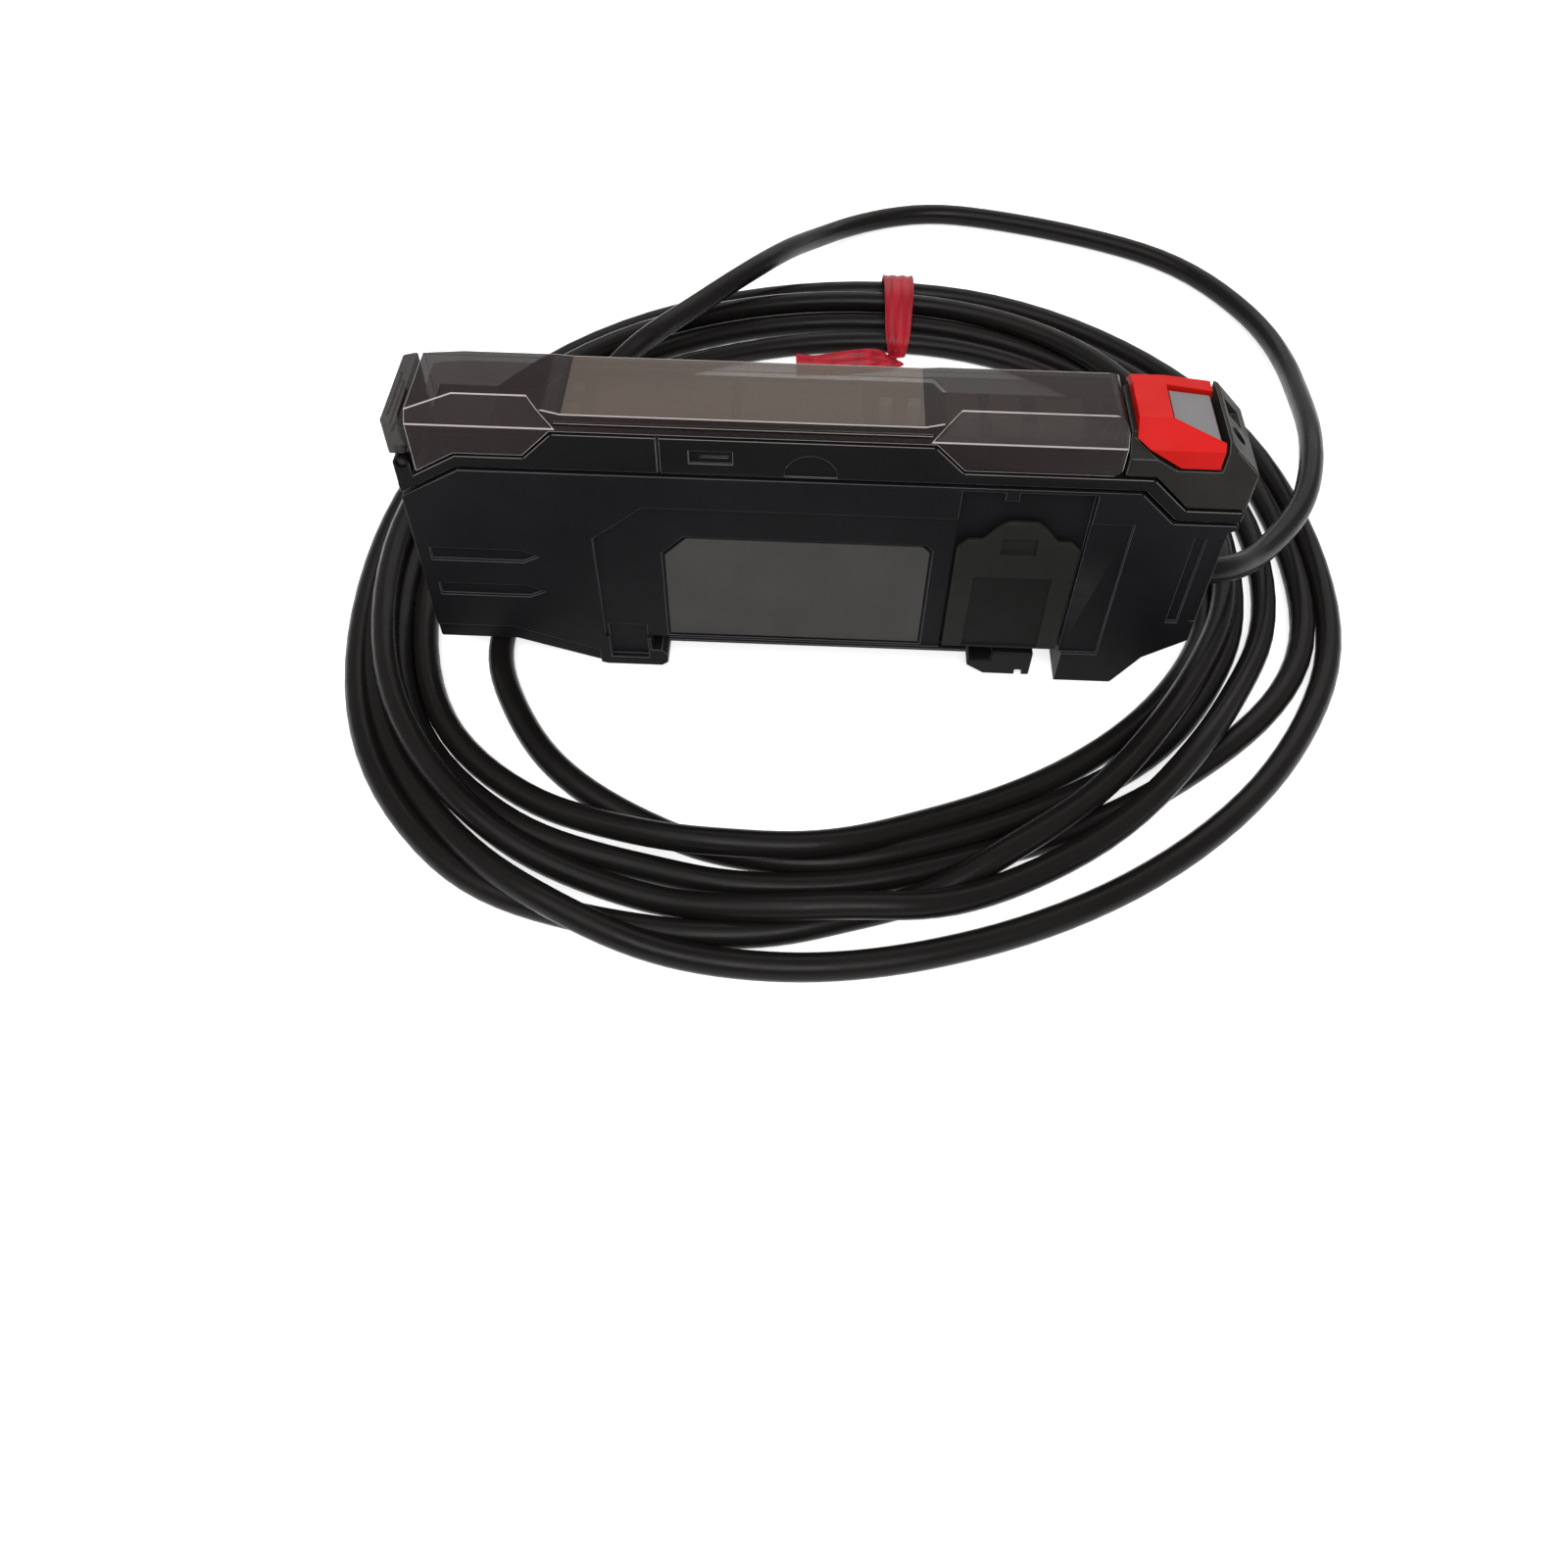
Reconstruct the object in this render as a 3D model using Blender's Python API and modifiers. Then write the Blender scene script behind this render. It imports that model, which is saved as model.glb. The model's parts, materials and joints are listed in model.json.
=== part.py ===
"""Slim DIN-rail amplifier for a fibre optic sensor, with its coiled cable.

The unit stands upright on its rail foot. +X runs from the fibre end to the
cable end, +Y from the labelled side to the plain side and +Z up. The origin
is the middle of the body's footprint. Sizes are in metres.
"""
import math

import bmesh
import bpy
from mathutils import Matrix, Vector

MM = 0.001

# Body envelope and walls
BODY_LENGTH = 78.7 * MM
BODY_WIDTH = 9.8 * MM
BODY_HEIGHT = 32.6 * MM
GAP = 0.3 * MM
OVER = 1.0 * MM
EDGE_ROUND = 0.3 * MM
SMALL_ROUND = 0.25 * MM
FINE_ROUND = 0.15 * MM
FRONT_WALL = 1.6 * MM
BACK_WALL = 1.2 * MM
END_WALL = 1.6 * MM
FLOOR = 1.4 * MM

# Seat for a 35 mm top-hat rail, its fixed hook and its sprung claw
RAIL_WIDTH = 35.0 * MM
RAIL_PLAY = 0.1 * MM
SEAT_DEPTH = 4.0 * MM
HOOK_REACH = 1.7 * MM
HOOK_LIP_TOP = 2.5 * MM
HOOK_LIP_BOTTOM = 0.7 * MM
HOOK_RAMP = 0.9 * MM
HOOK_BLOCK = 4.9 * MM
FOOT_SLOPE_SHARE = 0.607
HOOK_RECESS_DEPTH = 0.65 * MM
HOOK_RECESS_BOTTOM = 1.3 * MM
HOOK_RECESS_TOP = 5.9 * MM
LATCH_BAY = 7.9 * MM
SEAT_RELIEF = 0.4 * MM
LATCH_TRAVEL = 2.2 * MM
LATCH_REACH = 1.6 * MM
LATCH_BODY = 4.9 * MM
LATCH_LIFT = 0.4 * MM
LATCH_STEM = 2.0 * MM
LATCH_STEM_WIDTH = 2.4 * MM
LATCH_HEAD_WIDTH = 4.2 * MM
LATCH_HEAD = 1.0 * MM
PULL_WIDTH = 0.8 * MM

# Underside and ends of the lower case
FIBRE_FOOT_RAISE = 3.1 * MM
FIBRE_FOOT_LENGTH = 8.0 * MM
FOOT_BAND = 2.2 * MM
FOOT_BAND_DEPTH = 0.5 * MM
HEEL_LENGTH = 7.35 * MM
HEEL_SLOPE_LENGTH = 4.85 * MM
HEEL_SLOPE_Z = 4.0 * MM
HEEL_TOP_Z = 6.8 * MM
END_RECESS = 0.75 * MM
END_BLOCK_DROP = 1.1 * MM

# Seam between lower case and bezel, and the strip above it
SEAM_DEPTH = 6.8 * MM
SEAM_END_DROP = 3.4 * MM
SEAM_LEFT_RUN = 5.95 * MM
SEAM_RIGHT_END = 6.15 * MM
SEAM_RIGHT_RUN = 3.6 * MM
STRIP_HEIGHT = 1.75 * MM
STRIP_SHIFT = 0.7 * MM
STRIP_CUT = 0.25 * MM
STRIP_JOINT = 9.4 * MM
STRIP_CATCH = 4.9 * MM
STRIP_MOON = 9.1 * MM
CATCH_LENGTH = 4.0 * MM
CATCH_HEIGHT = 1.4 * MM
MOON_RADIUS = 2.5 * MM

# Smoked cover: low window in the middle, skirts over the two end bays
LEVER_THICKNESS = 1.6 * MM
LEVER_GAP = 0.5 * MM
COVER_WALL = 0.9 * MM
COVER_PLATE = 1.0 * MM
WINDOW_DROP = 0.4 * MM
WINDOW_EDGE = 1.9 * MM
FIBRE_BAY = 15.05 * MM
KEY_BAY = 29.15 * MM
BAY_RAMP = 2.8 * MM
NOSE_RUN = 6.35 * MM
NOSE_DROP = 1.6 * MM
FRONT_CHAMFER = 2.0 * MM
BACK_CHAMFER = 1.5 * MM
CHAMFER_RUN_OUT = 2.5 * MM
WINDOW_GROOVE = 0.4 * MM
WINDOW_GROOVE_DEPTH = 0.25 * MM
COVER_CORNER = 1.2 * MM
LEAN = 0.8
HINGE_DROP = 1.5 * MM
HINGE_BACKSET = 1.2 * MM
HINGE_PIN_RADIUS = 0.5 * MM
HINGE_EAR_RADIUS = 0.75 * MM
HINGE_EAR_THICKNESS = 1.0 * MM
PIN_CLEARANCE = 0.1 * MM

# Red frame and the block under it at the cable end
FRAME_BAY = 11.55 * MM
FRAME_END = 3.7 * MM
FRAME_GAP = 0.7 * MM
FRAME_WALL = 1.0 * MM
FRAME_SKIRT = 3.9 * MM
FRAME_BAR = 3.0 * MM
FRAME_RAMP = 4.4 * MM
FRAME_FALL = 1.5 * MM
WINDOW_INSETS = (2.15 * MM, 0.75 * MM)
WINDOW_BACKSETS = (2.9 * MM, 1.6 * MM)
BADGE_SINK = 0.35 * MM
END_SLOPE = 3.0 * MM
END_RECESS_DEPTH = 3.7 * MM
END_RECESS_HALF = 0.8 * MM

# Fibre end: two fibre holes, their bushes, the holder and the clamp
FIBRE_PITCH = 4.7 * MM
FIBRE_BORE = 1.1 * MM
BUSH_WALL = 0.5 * MM
BUSH_FLANGE = 0.35 * MM
BUSH_FLANGE_LENGTH = 0.7 * MM
BUSH_LENGTH = 3.4 * MM
HOLDER_LENGTH = 12.0 * MM
HOLDER_MARGIN = 3.2 * MM
HOLDER_SHARE = 0.271
OPTIC_RADIUS = 1.5 * MM
OPTIC_LENGTH = 4.2 * MM
OPTIC_SEAT = 2.2 * MM
CLAMP_LENGTH = 3.0 * MM
CLAMP_WIDTH = 2.2 * MM
LEVER_POST_RADIUS = 0.75 * MM
LEVER_PIVOT_INSET = 0.9 * MM
LEVER_PIVOT_RISE = 2.0 * MM
LEVER_PIN_RADIUS = 0.4 * MM
LEVER_POST_WIDTH = 1.0 * MM
GRIP_COUNT = 3
GRIP_WIDTH = 0.45 * MM
GRIP_HALF = 3.0 * MM

# Boards and displays
BOARD_THICKNESS = 1.0 * MM
BOARD_PLAY = 0.6 * MM
CHIP_DEPTH = 1.1 * MM
BOARD_CHIPS = (
    ("processor", 0.18, 0.11, 0.41, 0.47), ("regulator", 0.85, 0.06, 0.62, 0.24),
    ("amplifier_chip", 0.05, 0.07, 0.15, 0.33), ("driver_chip", 0.36, 0.07, 0.66, 0.26),
)
DISPLAY_BOARD_DROP = 1.8 * MM
DISPLAY_CLEARANCE = 0.2 * MM
DISPLAY_SHARE = 0.53
DISPLAY_MARGIN = 3.6 * MM
DISPLAY_BRIDGE = 0.9 * MM
DISPLAY_PROUD = 0.6 * MM
LAMP_RADIUS = 0.7 * MM

# Keys and selector switches
KEY_PROUD = 1.1 * MM
KEY_TRAVEL = 0.4 * MM
KEY_RIM = 0.7 * MM
SET_KEY_LENGTH = 3.0 * MM
MODE_KEY_LENGTH = 3.0 * MM
ROCKER_LENGTH = 5.0 * MM
PRESET_KEY_LENGTH = 5.4 * MM
KEY_SPACING = 0.9 * MM
KEY_ROUND = 0.35 * MM
DISH_RADIUS = 9.0 * MM
DISH_DEPTH = 0.3 * MM
ROCKER_VALLEY = 0.45 * MM
ROCKER_AXIS_DROP = 1.6 * MM
SWITCH_TRAVEL = 2.0 * MM
SWITCH_KNOB = 1.2 * MM
SWITCH_SPACING = 2.6 * MM
SWITCH_BAY = 6.6 * MM

# Side recesses, rating plate and expansion socket on the labelled side
PANEL_DEPTH = 0.35 * MM
PANEL_LEFT_INSET = 17.55 * MM
PANEL_RIGHT_INSET = 9.75 * MM
PANEL_DROP = 3.9 * MM
PANEL_CORNER = 4.1 * MM
PANEL_SLOPE = 1.25
GUIDE_INSET = 1.4 * MM
GUIDE_LENGTH = 10.6 * MM
GUIDE_HALF = 0.8 * MM
PLATE_INSET = 6.6 * MM
PLATE_MARGIN = 2.2 * MM
PLATE_DROP = 3.7 * MM
PLATE_CORNER = 2.2 * MM
PLATE_POCKET = 0.35 * MM
PLATE_THICKNESS = 0.3 * MM
CAP_LENGTH = 11.9 * MM
CAP_INSET = 4.3 * MM
CAP_DROP = 2.6 * MM
CAP_HUMP = 2.3 * MM
CAP_THICKNESS = 0.9 * MM
CAP_POCKET = 1.0 * MM
CAP_BAY_DROP = 0.5 * MM
CAP_NOTCH = 3.4 * MM
CAP_PANEL_HALF = 3.9 * MM
CAP_PANEL_DROP = 4.7 * MM
CAP_PANEL_DEPTH = 0.2 * MM
CAP_SLOT_HALF = 1.7 * MM
SOCKET_WIDTH = 8.0 * MM
SOCKET_SHARE = 0.19
SOCKET_DEPTH = 2.8 * MM
SOCKET_WALL = 0.8 * MM
CONTACT_SIZE = 0.5 * MM
CONTACT_COUNT = 5
CONTACT_MARGIN = 1.7 * MM
PLUG_DEPTH = 2.0 * MM

# Cable outlet at the right end
CABLE_DIAMETER = 2.7 * MM
OUTLET_Z = 12.0 * MM
OUTLET_WALL = 1.9 * MM
CHANNEL_BOTTOM = 8.4 * MM
CHANNEL_DROP = 1.8 * MM
RIB_WIDTH = 1.1 * MM
GLAND_WALL = 0.7 * MM
GLAND_FLANGE = 0.7 * MM

# Ring of coiled cable on the table
RING_CENTRE = (3.6 * MM, 11.6 * MM)
RING_RADIUS = 55.0 * MM
RING_HOLE_CENTRE = (-0.5 * MM, 12.0 * MM)
RING_HOLE_RADIUS = 43.0 * MM
RING_HEIGHT = 5.6 * MM
RING_ROUND = 1.3 * MM
TIE_X = 10.0 * MM
TIE_WIDTH = 4.0 * MM
TIE_WALL = 0.7 * MM
TIE_LOW_Y = 51.7 * MM
TIE_HIGH_Y = 67.4 * MM
TIE_TOP = 6.7 * MM
TIE_TAIL_RADIUS = 0.9 * MM
TIE_TAIL_POINTS = ((0, 0.35, 2.4), (-2, -1.6, 1.8), (-7, -3.0, 1.3), (-13, -3.6, 1.2))

# Stretches of cable that lie free of the ring, millimetre points by hand
LEAD_POINTS = (
    (34.9, 0, 12), (39.8, 0, 12), (43.4, 2.2, 10.7), (47, 6.0, 8.8), (51.5, 11.6, 8.0),
    (55.3, 18, 8.0), (58.2, 28.9, 7.4), (59.9, 41, 4.6), (60.8, 51, 2.6), (58.9, 62.5, 1.6),
    (50.7, 75.3, 1.45), (38.1, 81.8, 1.45), (26.1, 85.5, 1.45), (15, 87.2, 1.45), (5, 83.5, 1.5),
    (-0.7, 76.7, 3.1), (-4.7, 68.6, 6.0), (-8.2, 61.4, 7.9), (-12.6, 55.9, 7.9), (-15.8, 52.2, 7.6),
    (-18.8, 48.3, 7.6), (-21.7, 44.8, 7.4), (-24.7, 42.4, 6.0), (-28.4, 37, 4.2), (-29.9, 30, 2.2),
    (-31, 22, 1.45), (-32.2, 11, 1.4), (-33.2, 1, 1.4), (-33.3, -6, 1.4), (-30.3, -13, 1.4),
    (-26.2, -19.2, 1.4), (-20.2, -24.2, 1.4), (-13.8, -27.0, 1.4),
)
TAIL_POINTS = (
    (37.0, 29.1, 1.4), (33.6, 33.4, 1.4), (28.6, 36.6, 1.4), (22, 38.2, 1.4),
    (14, 36.8, 1.4), (6, 33.4, 1.4),
)
CORE_RADIUS = 0.45 * MM
CORE_TURN_OUT = 1.05 * MM
CORE_STEP = 4.0 * MM
CORE_LIFTS = (0.2, 1.1, 1.1, 0.2)
CORE_SINK = 0.25 * MM

# Planes and stations that follow from the sizes above
LEFT = -BODY_LENGTH / 2
RIGHT = BODY_LENGTH / 2
FRONT = -BODY_WIDTH / 2
BACK = BODY_WIDTH / 2
SEAT_WIDTH = RAIL_WIDTH + RAIL_PLAY
FOOT_SPARE = BODY_LENGTH - FIBRE_FOOT_LENGTH - HOOK_BLOCK - SEAT_WIDTH - LATCH_BAY - HEEL_LENGTH
SEAT_LEFT = LEFT + FIBRE_FOOT_LENGTH + FOOT_SLOPE_SHARE * FOOT_SPARE + HOOK_BLOCK
SEAT_RIGHT = SEAT_LEFT + SEAT_WIDTH
SEAM_Z = BODY_HEIGHT - SEAM_DEPTH
SEAM_END_Z = SEAM_Z - SEAM_END_DROP
FLANGE_Z = BODY_HEIGHT - WINDOW_DROP - WINDOW_EDGE
WINDOW_LEFT = LEFT + FIBRE_BAY
WINDOW_RIGHT = RIGHT - KEY_BAY
FRAME_LEFT = RIGHT - FRAME_BAY
FRAME_RIGHT = RIGHT - FRAME_END
COVER_LEFT = LEFT + LEVER_THICKNESS + LEVER_GAP
COVER_RIGHT = FRAME_LEFT - FRAME_GAP
HINGE_X = COVER_RIGHT - HINGE_BACKSET
HINGE_Z = BODY_HEIGHT - HINGE_DROP
HINGE_EAR_OUTER = BODY_WIDTH / 2 - FRONT_CHAMFER - 2 * GAP
TOWER_HALF = BODY_WIDTH / 2 - COVER_WALL - GAP
KEY_DECK_Z = FLANGE_Z - 2 * GAP
FIBRE_DECK_Z = KEY_DECK_Z - OVER
ROCKER_AXIS_Z = KEY_DECK_Z - ROCKER_AXIS_DROP
CAVITY_FLOOR = SEAT_DEPTH + FLOOR
CAVITY_LEFT = LEFT + END_WALL
OUTLET_FACE = RIGHT - END_RECESS - OUTLET_WALL
CAVITY_RIGHT = OUTLET_FACE - END_WALL
GLAND_INNER = CAVITY_RIGHT - GAP - GLAND_FLANGE
CAVITY_FRONT = FRONT + FRONT_WALL
CAVITY_BACK = BACK - BACK_WALL
DISPLAY_BOARD_TOP = SEAM_Z - DISPLAY_BOARD_DROP
DISPLAY_BOARD_BASE = DISPLAY_BOARD_TOP - BOARD_THICKNESS
LEVER_X = LEFT + LEVER_PIVOT_INSET
LEVER_Z = SEAM_END_Z + STRIP_HEIGHT + LEVER_PIVOT_RISE
PANEL_LEFT = LEFT + PANEL_LEFT_INSET
PANEL_RIGHT = RIGHT - PANEL_RIGHT_INSET
PANEL_TOP = SEAM_Z - PANEL_DROP
PANEL_SHOULDER = PANEL_TOP - PANEL_CORNER
CAP_RIGHT = PANEL_RIGHT - CAP_INSET
CAP_LEFT = CAP_RIGHT - CAP_LENGTH
CAP_BOTTOM = SEAT_DEPTH + 2 * GAP
CAP_TOP = PANEL_TOP - CAP_DROP
CAP_BAY_TOP = SEAM_Z - CAP_BAY_DROP
PLATE_LEFT = PANEL_LEFT + PLATE_INSET
PLATE_RIGHT = CAP_LEFT - PLATE_MARGIN
PLATE_BOTTOM = CAP_BOTTOM
PLATE_TOP = PANEL_TOP - PLATE_DROP
SOCKET_BOTTOM = CAP_BOTTOM + SOCKET_SHARE * (CAP_TOP - CAP_BOTTOM)
SOCKET_TOP = CAP_TOP - SOCKET_SHARE * (CAP_TOP - CAP_BOTTOM)
CHANNEL_TOP = SEAM_END_Z - CHANNEL_DROP
GLAND_BORE = CABLE_DIAMETER / 2 + GAP
GLAND_RADIUS = GLAND_BORE + GLAND_WALL
CHANNEL_HALF = GLAND_RADIUS + 1.5 * GAP
FALL_START = FRAME_LEFT + FRAME_BAR
FALL_RATE = FRAME_FALL / (FRAME_RIGHT - FALL_START)
WINDOW_FRONTS = tuple(FRONT + inset for inset in WINDOW_INSETS)
WINDOW_BACKS = tuple(BACK - backset for backset in WINDOW_BACKSETS)
DECK_HALF = min(-CAVITY_FRONT, CAVITY_BACK) - DISPLAY_CLEARANCE
KEY_HALF = DECK_HALF - KEY_RIM
HOLDER_LEFT = CAVITY_LEFT + GAP
HOLDER_RIGHT = HOLDER_LEFT + HOLDER_LENGTH
HOLDER_HEIGHT = FIBRE_PITCH + 2 * HOLDER_MARGIN
HOLDER_SPARE = DISPLAY_BOARD_BASE - CAVITY_FLOOR - HOLDER_HEIGHT - 2 * GAP
HOLDER_BASE = CAVITY_FLOOR + GAP + HOLDER_SHARE * HOLDER_SPARE
FIBRE_LOWER_Z = HOLDER_BASE + HOLDER_MARGIN
FIBRE_UPPER_Z = FIBRE_LOWER_Z + FIBRE_PITCH
KEY_ROW_START = WINDOW_RIGHT + KEY_SPACING
PRESET_CENTRE = COVER_LEFT + COVER_WALL + KEY_SPACING + PRESET_KEY_LENGTH / 2
DISPLAY_START = WINDOW_LEFT + DISPLAY_MARGIN


def clear_scene():
    """Remove every object that the new file starts with."""
    for obj in list(bpy.data.objects):
        bpy.data.objects.remove(obj, do_unlink=True)


def new_collection(name):
    """Make a collection in the scene."""
    collection = bpy.data.collections.new(name)
    bpy.context.scene.collection.children.link(collection)
    return collection


clear_scene()
PARTS = new_collection("fibre_sensor_amplifier")
CUTTERS = new_collection("cutters")


def material(name, colour, roughness, alpha=1.0, metallic=0.0):
    """A Principled material with a linear base colour."""
    made = bpy.data.materials.new(name)
    made.use_nodes = True
    shader = made.node_tree.nodes["Principled BSDF"]
    shader.inputs["Base Color"].default_value = (*colour, 1.0)
    shader.inputs["Roughness"].default_value = roughness
    shader.inputs["Metallic"].default_value = metallic
    shader.inputs["Alpha"].default_value = alpha
    made.diffuse_color = (*colour, alpha)
    return made


def finish(obj, colour, roughness, alpha=1.0, metallic=0.0, smooth=True):
    """Move a piece to the parts collection under its own material."""
    for collection in list(obj.users_collection):
        collection.objects.unlink(obj)
    PARTS.objects.link(obj)
    obj.hide_render = False
    obj.display_type = "TEXTURED"
    obj.data.materials.clear()
    obj.data.materials.append(material(obj.name, colour, roughness, alpha, metallic))
    if smooth and obj.type == "MESH":
        obj.data.shade_smooth()
        obj.data.set_sharp_from_angle(angle=math.radians(35))
    return obj


def as_cutter(obj):
    """Keep a helper solid out of sight in the cutters collection."""
    for collection in list(obj.users_collection):
        collection.objects.unlink(obj)
    CUTTERS.objects.link(obj)
    obj.hide_render = True
    obj.display_type = "WIRE"
    return obj


def mesh_object(name, mesh):
    """Link a mesh as a helper until it is finished as a part."""
    obj = bpy.data.objects.new(name, mesh)
    return as_cutter(obj)


def block(name, x_span, y_span, z_span):
    """A box between two limits on each axis."""
    mesh = bpy.data.meshes.new(name)
    box = bmesh.new()
    bmesh.ops.create_cube(box, size=1.0)
    spans = (x_span, y_span, z_span)
    size = [high - low for low, high in spans]
    middle = [(high + low) / 2 for low, high in spans]
    place = Matrix.Translation(middle) @ Matrix.Diagonal((*size, 1.0))
    bmesh.ops.transform(box, matrix=place, verts=box.verts)
    box.to_mesh(mesh)
    box.free()
    return mesh_object(name, mesh)


def rod(name, radius, start, end, segments=24, end_radius=None):
    """A cylinder or cone frustum between two points."""
    start, end = Vector(start), Vector(end)
    along = end - start
    mesh = bpy.data.meshes.new(name)
    cylinder = bmesh.new()
    bmesh.ops.create_cone(
        cylinder, cap_ends=True, segments=segments, depth=along.length,
        radius1=radius, radius2=radius if end_radius is None else end_radius)
    turn = Vector((0, 0, 1)).rotation_difference(along).to_matrix().to_4x4()
    place = Matrix.Translation((start + end) / 2) @ turn
    bmesh.ops.transform(cylinder, matrix=place, verts=cylinder.verts)
    cylinder.to_mesh(mesh)
    cylinder.free()
    return mesh_object(name, mesh)


def mesh_from(name, maker):
    """Turn a curve object into a welded mesh object and remove the curve."""
    CUTTERS.objects.link(maker)
    graph = bpy.context.evaluated_depsgraph_get()
    graph.update()
    mesh = bpy.data.meshes.new_from_object(maker.evaluated_get(graph))
    matrix = maker.matrix_world.copy()
    curve = maker.data
    bpy.data.objects.remove(maker)
    bpy.data.curves.remove(curve)
    mesh.name = name
    welded = bmesh.new()
    welded.from_mesh(mesh)
    bmesh.ops.remove_doubles(welded, verts=welded.verts, dist=1e-7)
    bmesh.ops.transform(welded, matrix=matrix, verts=welded.verts)
    bmesh.ops.recalc_face_normals(welded, faces=welded.faces)
    flat = [face for face in welded.faces if len(face.verts) == 3]
    if flat:
        edges = {edge for face in flat for edge in face.edges}
        bmesh.ops.dissolve_limit(welded, angle_limit=math.radians(0.1), verts=welded.verts,
                                 edges=list(edges))
    welded.to_mesh(mesh)
    welded.free()
    return mesh_object(name, mesh)


def prism(name, outline, low, high, matrix=None):
    """Extrude closed outlines, by default drawn in XZ and extruded along Y.

    The first outline may be followed by others that are holes in it. Where a
    matrix is given, the outline is drawn in its XY plane and extruded along
    its Z axis.
    """
    loops = outline if isinstance(outline[0][0], (tuple, list)) else [outline]
    curve = bpy.data.curves.new(name, "CURVE")
    curve.dimensions = "2D"
    curve.fill_mode = "BOTH"
    curve.extrude = (high - low) / 2
    for loop in loops:
        spline = curve.splines.new("POLY")
        spline.points.add(len(loop) - 1)
        for point, (across, up) in zip(spline.points, loop):
            point.co = (across, up, 0, 1)
        spline.use_cyclic_u = True
    maker = bpy.data.objects.new(name, curve)
    middle = (high + low) / 2
    if matrix is None:
        maker.matrix_world = Matrix.Translation((0, middle, 0)) @ Matrix.Rotation(math.pi / 2, 4, "X")
    else:
        maker.matrix_world = matrix @ Matrix.Translation((0, 0, middle))
    return mesh_from(name, maker)


def cross_prism(name, outline, low, high):
    """Extrude an outline drawn in YZ along X."""
    turn = Matrix(((0, 0, 1, 0), (1, 0, 0, 0), (0, 1, 0, 0), (0, 0, 0, 1)))
    return prism(name, outline, low, high, turn)


def tube(name, points, radius, resolution=2):
    """A smooth round wire through hand-placed points, as one closed mesh."""
    curve = bpy.data.curves.new(name, "CURVE")
    curve.dimensions = "3D"
    curve.bevel_depth = radius
    curve.bevel_resolution = resolution
    curve.use_fill_caps = True
    spline = curve.splines.new("POLY")
    spline.points.add(len(points) - 1)
    for point, place in zip(spline.points, points):
        point.co = (*place, 1)
    return mesh_from(name, bpy.data.objects.new(name, curve))


def smooth_path(points, spacing):
    """Points at an even spacing along a Catmull-Rom curve through points."""
    knots = [Vector(point) for point in points]
    knots = [2 * knots[0] - knots[1]] + knots + [2 * knots[-1] - knots[-2]]
    fine = []
    for first, second, third, fourth in zip(knots, knots[1:], knots[2:], knots[3:]):
        for step in range(12):
            t = step / 12
            fine.append(0.5 * (
                2 * second + (third - first) * t
                + (2 * first - 5 * second + 4 * third - fourth) * t ** 2
                + (3 * second - first - 3 * third + fourth) * t ** 3))
    fine.append(knots[-2])
    lengths = [0.0]
    for before, after in zip(fine, fine[1:]):
        lengths.append(lengths[-1] + (after - before).length)
    count = max(2, round(lengths[-1] / spacing))
    path = []
    index = 0
    for number in range(count + 1):
        target = lengths[-1] * number / count
        while index < len(fine) - 2 and lengths[index + 1] < target:
            index += 1
        share = (target - lengths[index]) / (lengths[index + 1] - lengths[index])
        path.append(fine[index].lerp(fine[index + 1], share))
    return path


def combine(obj, other, operation):
    """Add a Boolean modifier against another helper solid."""
    modifier = obj.modifiers.new(other.name, "BOOLEAN")
    modifier.operation = operation
    modifier.solver = "EXACT"
    modifier.object = other
    return obj


def cut(obj, *others):
    """Take helper solids away from a piece."""
    for other in others:
        combine(obj, other, "DIFFERENCE")
    return obj


def join(obj, *others):
    """Fuse helper solids to a piece."""
    for other in others:
        combine(obj, other, "UNION")
    return obj


def round_edges(obj, width=EDGE_ROUND, segments=2, angle=30):
    """Round a piece's outer edges."""
    modifier = obj.modifiers.new("round", "BEVEL")
    modifier.width = width
    modifier.segments = segments
    modifier.limit_method = "ANGLE"
    modifier.angle_limit = math.radians(angle)
    modifier.use_clamp_overlap = True
    obj.modifiers.new("flat_faces", "TRIANGULATE")
    return obj


def arc(centre, radius, start, end, steps):
    """Points of an arc from one angle to another, in degrees."""
    angles = [math.radians(start + (end - start) * step / steps) for step in range(steps + 1)]
    return [(centre[0] + radius * math.cos(angle), centre[1] + radius * math.sin(angle))
            for angle in angles]


def turned(name, profile, centre_y, centre_z, steps=32):
    """Turn a profile of (x, radius) points about an axis along X.

    The Screw profile stands along Z, so its top is the +X end of the piece.
    """
    mesh = bpy.data.meshes.new(name)
    outline = bmesh.new()
    verts = [outline.verts.new((radius, 0, x)) for x, radius in profile]
    for first, second in zip(verts, verts[1:] + verts[:1]):
        outline.edges.new((first, second))
    outline.to_mesh(mesh)
    outline.free()
    obj = mesh_object(name, mesh)
    screw = obj.modifiers.new("turn", "SCREW")
    screw.angle = 2 * math.pi
    screw.steps = steps
    screw.render_steps = steps
    screw.use_merge_vertices = True
    screw.merge_threshold = 0.00001
    obj.rotation_euler = (0, math.pi / 2, 0)
    obj.location = (0, centre_y, centre_z)
    return obj


def seam_line(lift):
    """The seam between the housings, left to right, lifted by some height."""
    shift = lift / STRIP_HEIGHT * STRIP_SHIFT
    return [
        (LEFT, SEAM_END_Z + lift),
        (LEFT + SEAM_LEFT_RUN, SEAM_Z + lift),
        (RIGHT - SEAM_RIGHT_END - SEAM_RIGHT_RUN + shift, SEAM_Z + lift),
        (RIGHT - SEAM_RIGHT_END + shift, SEAM_END_Z + lift),
        (RIGHT, SEAM_END_Z + lift),
    ]


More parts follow.
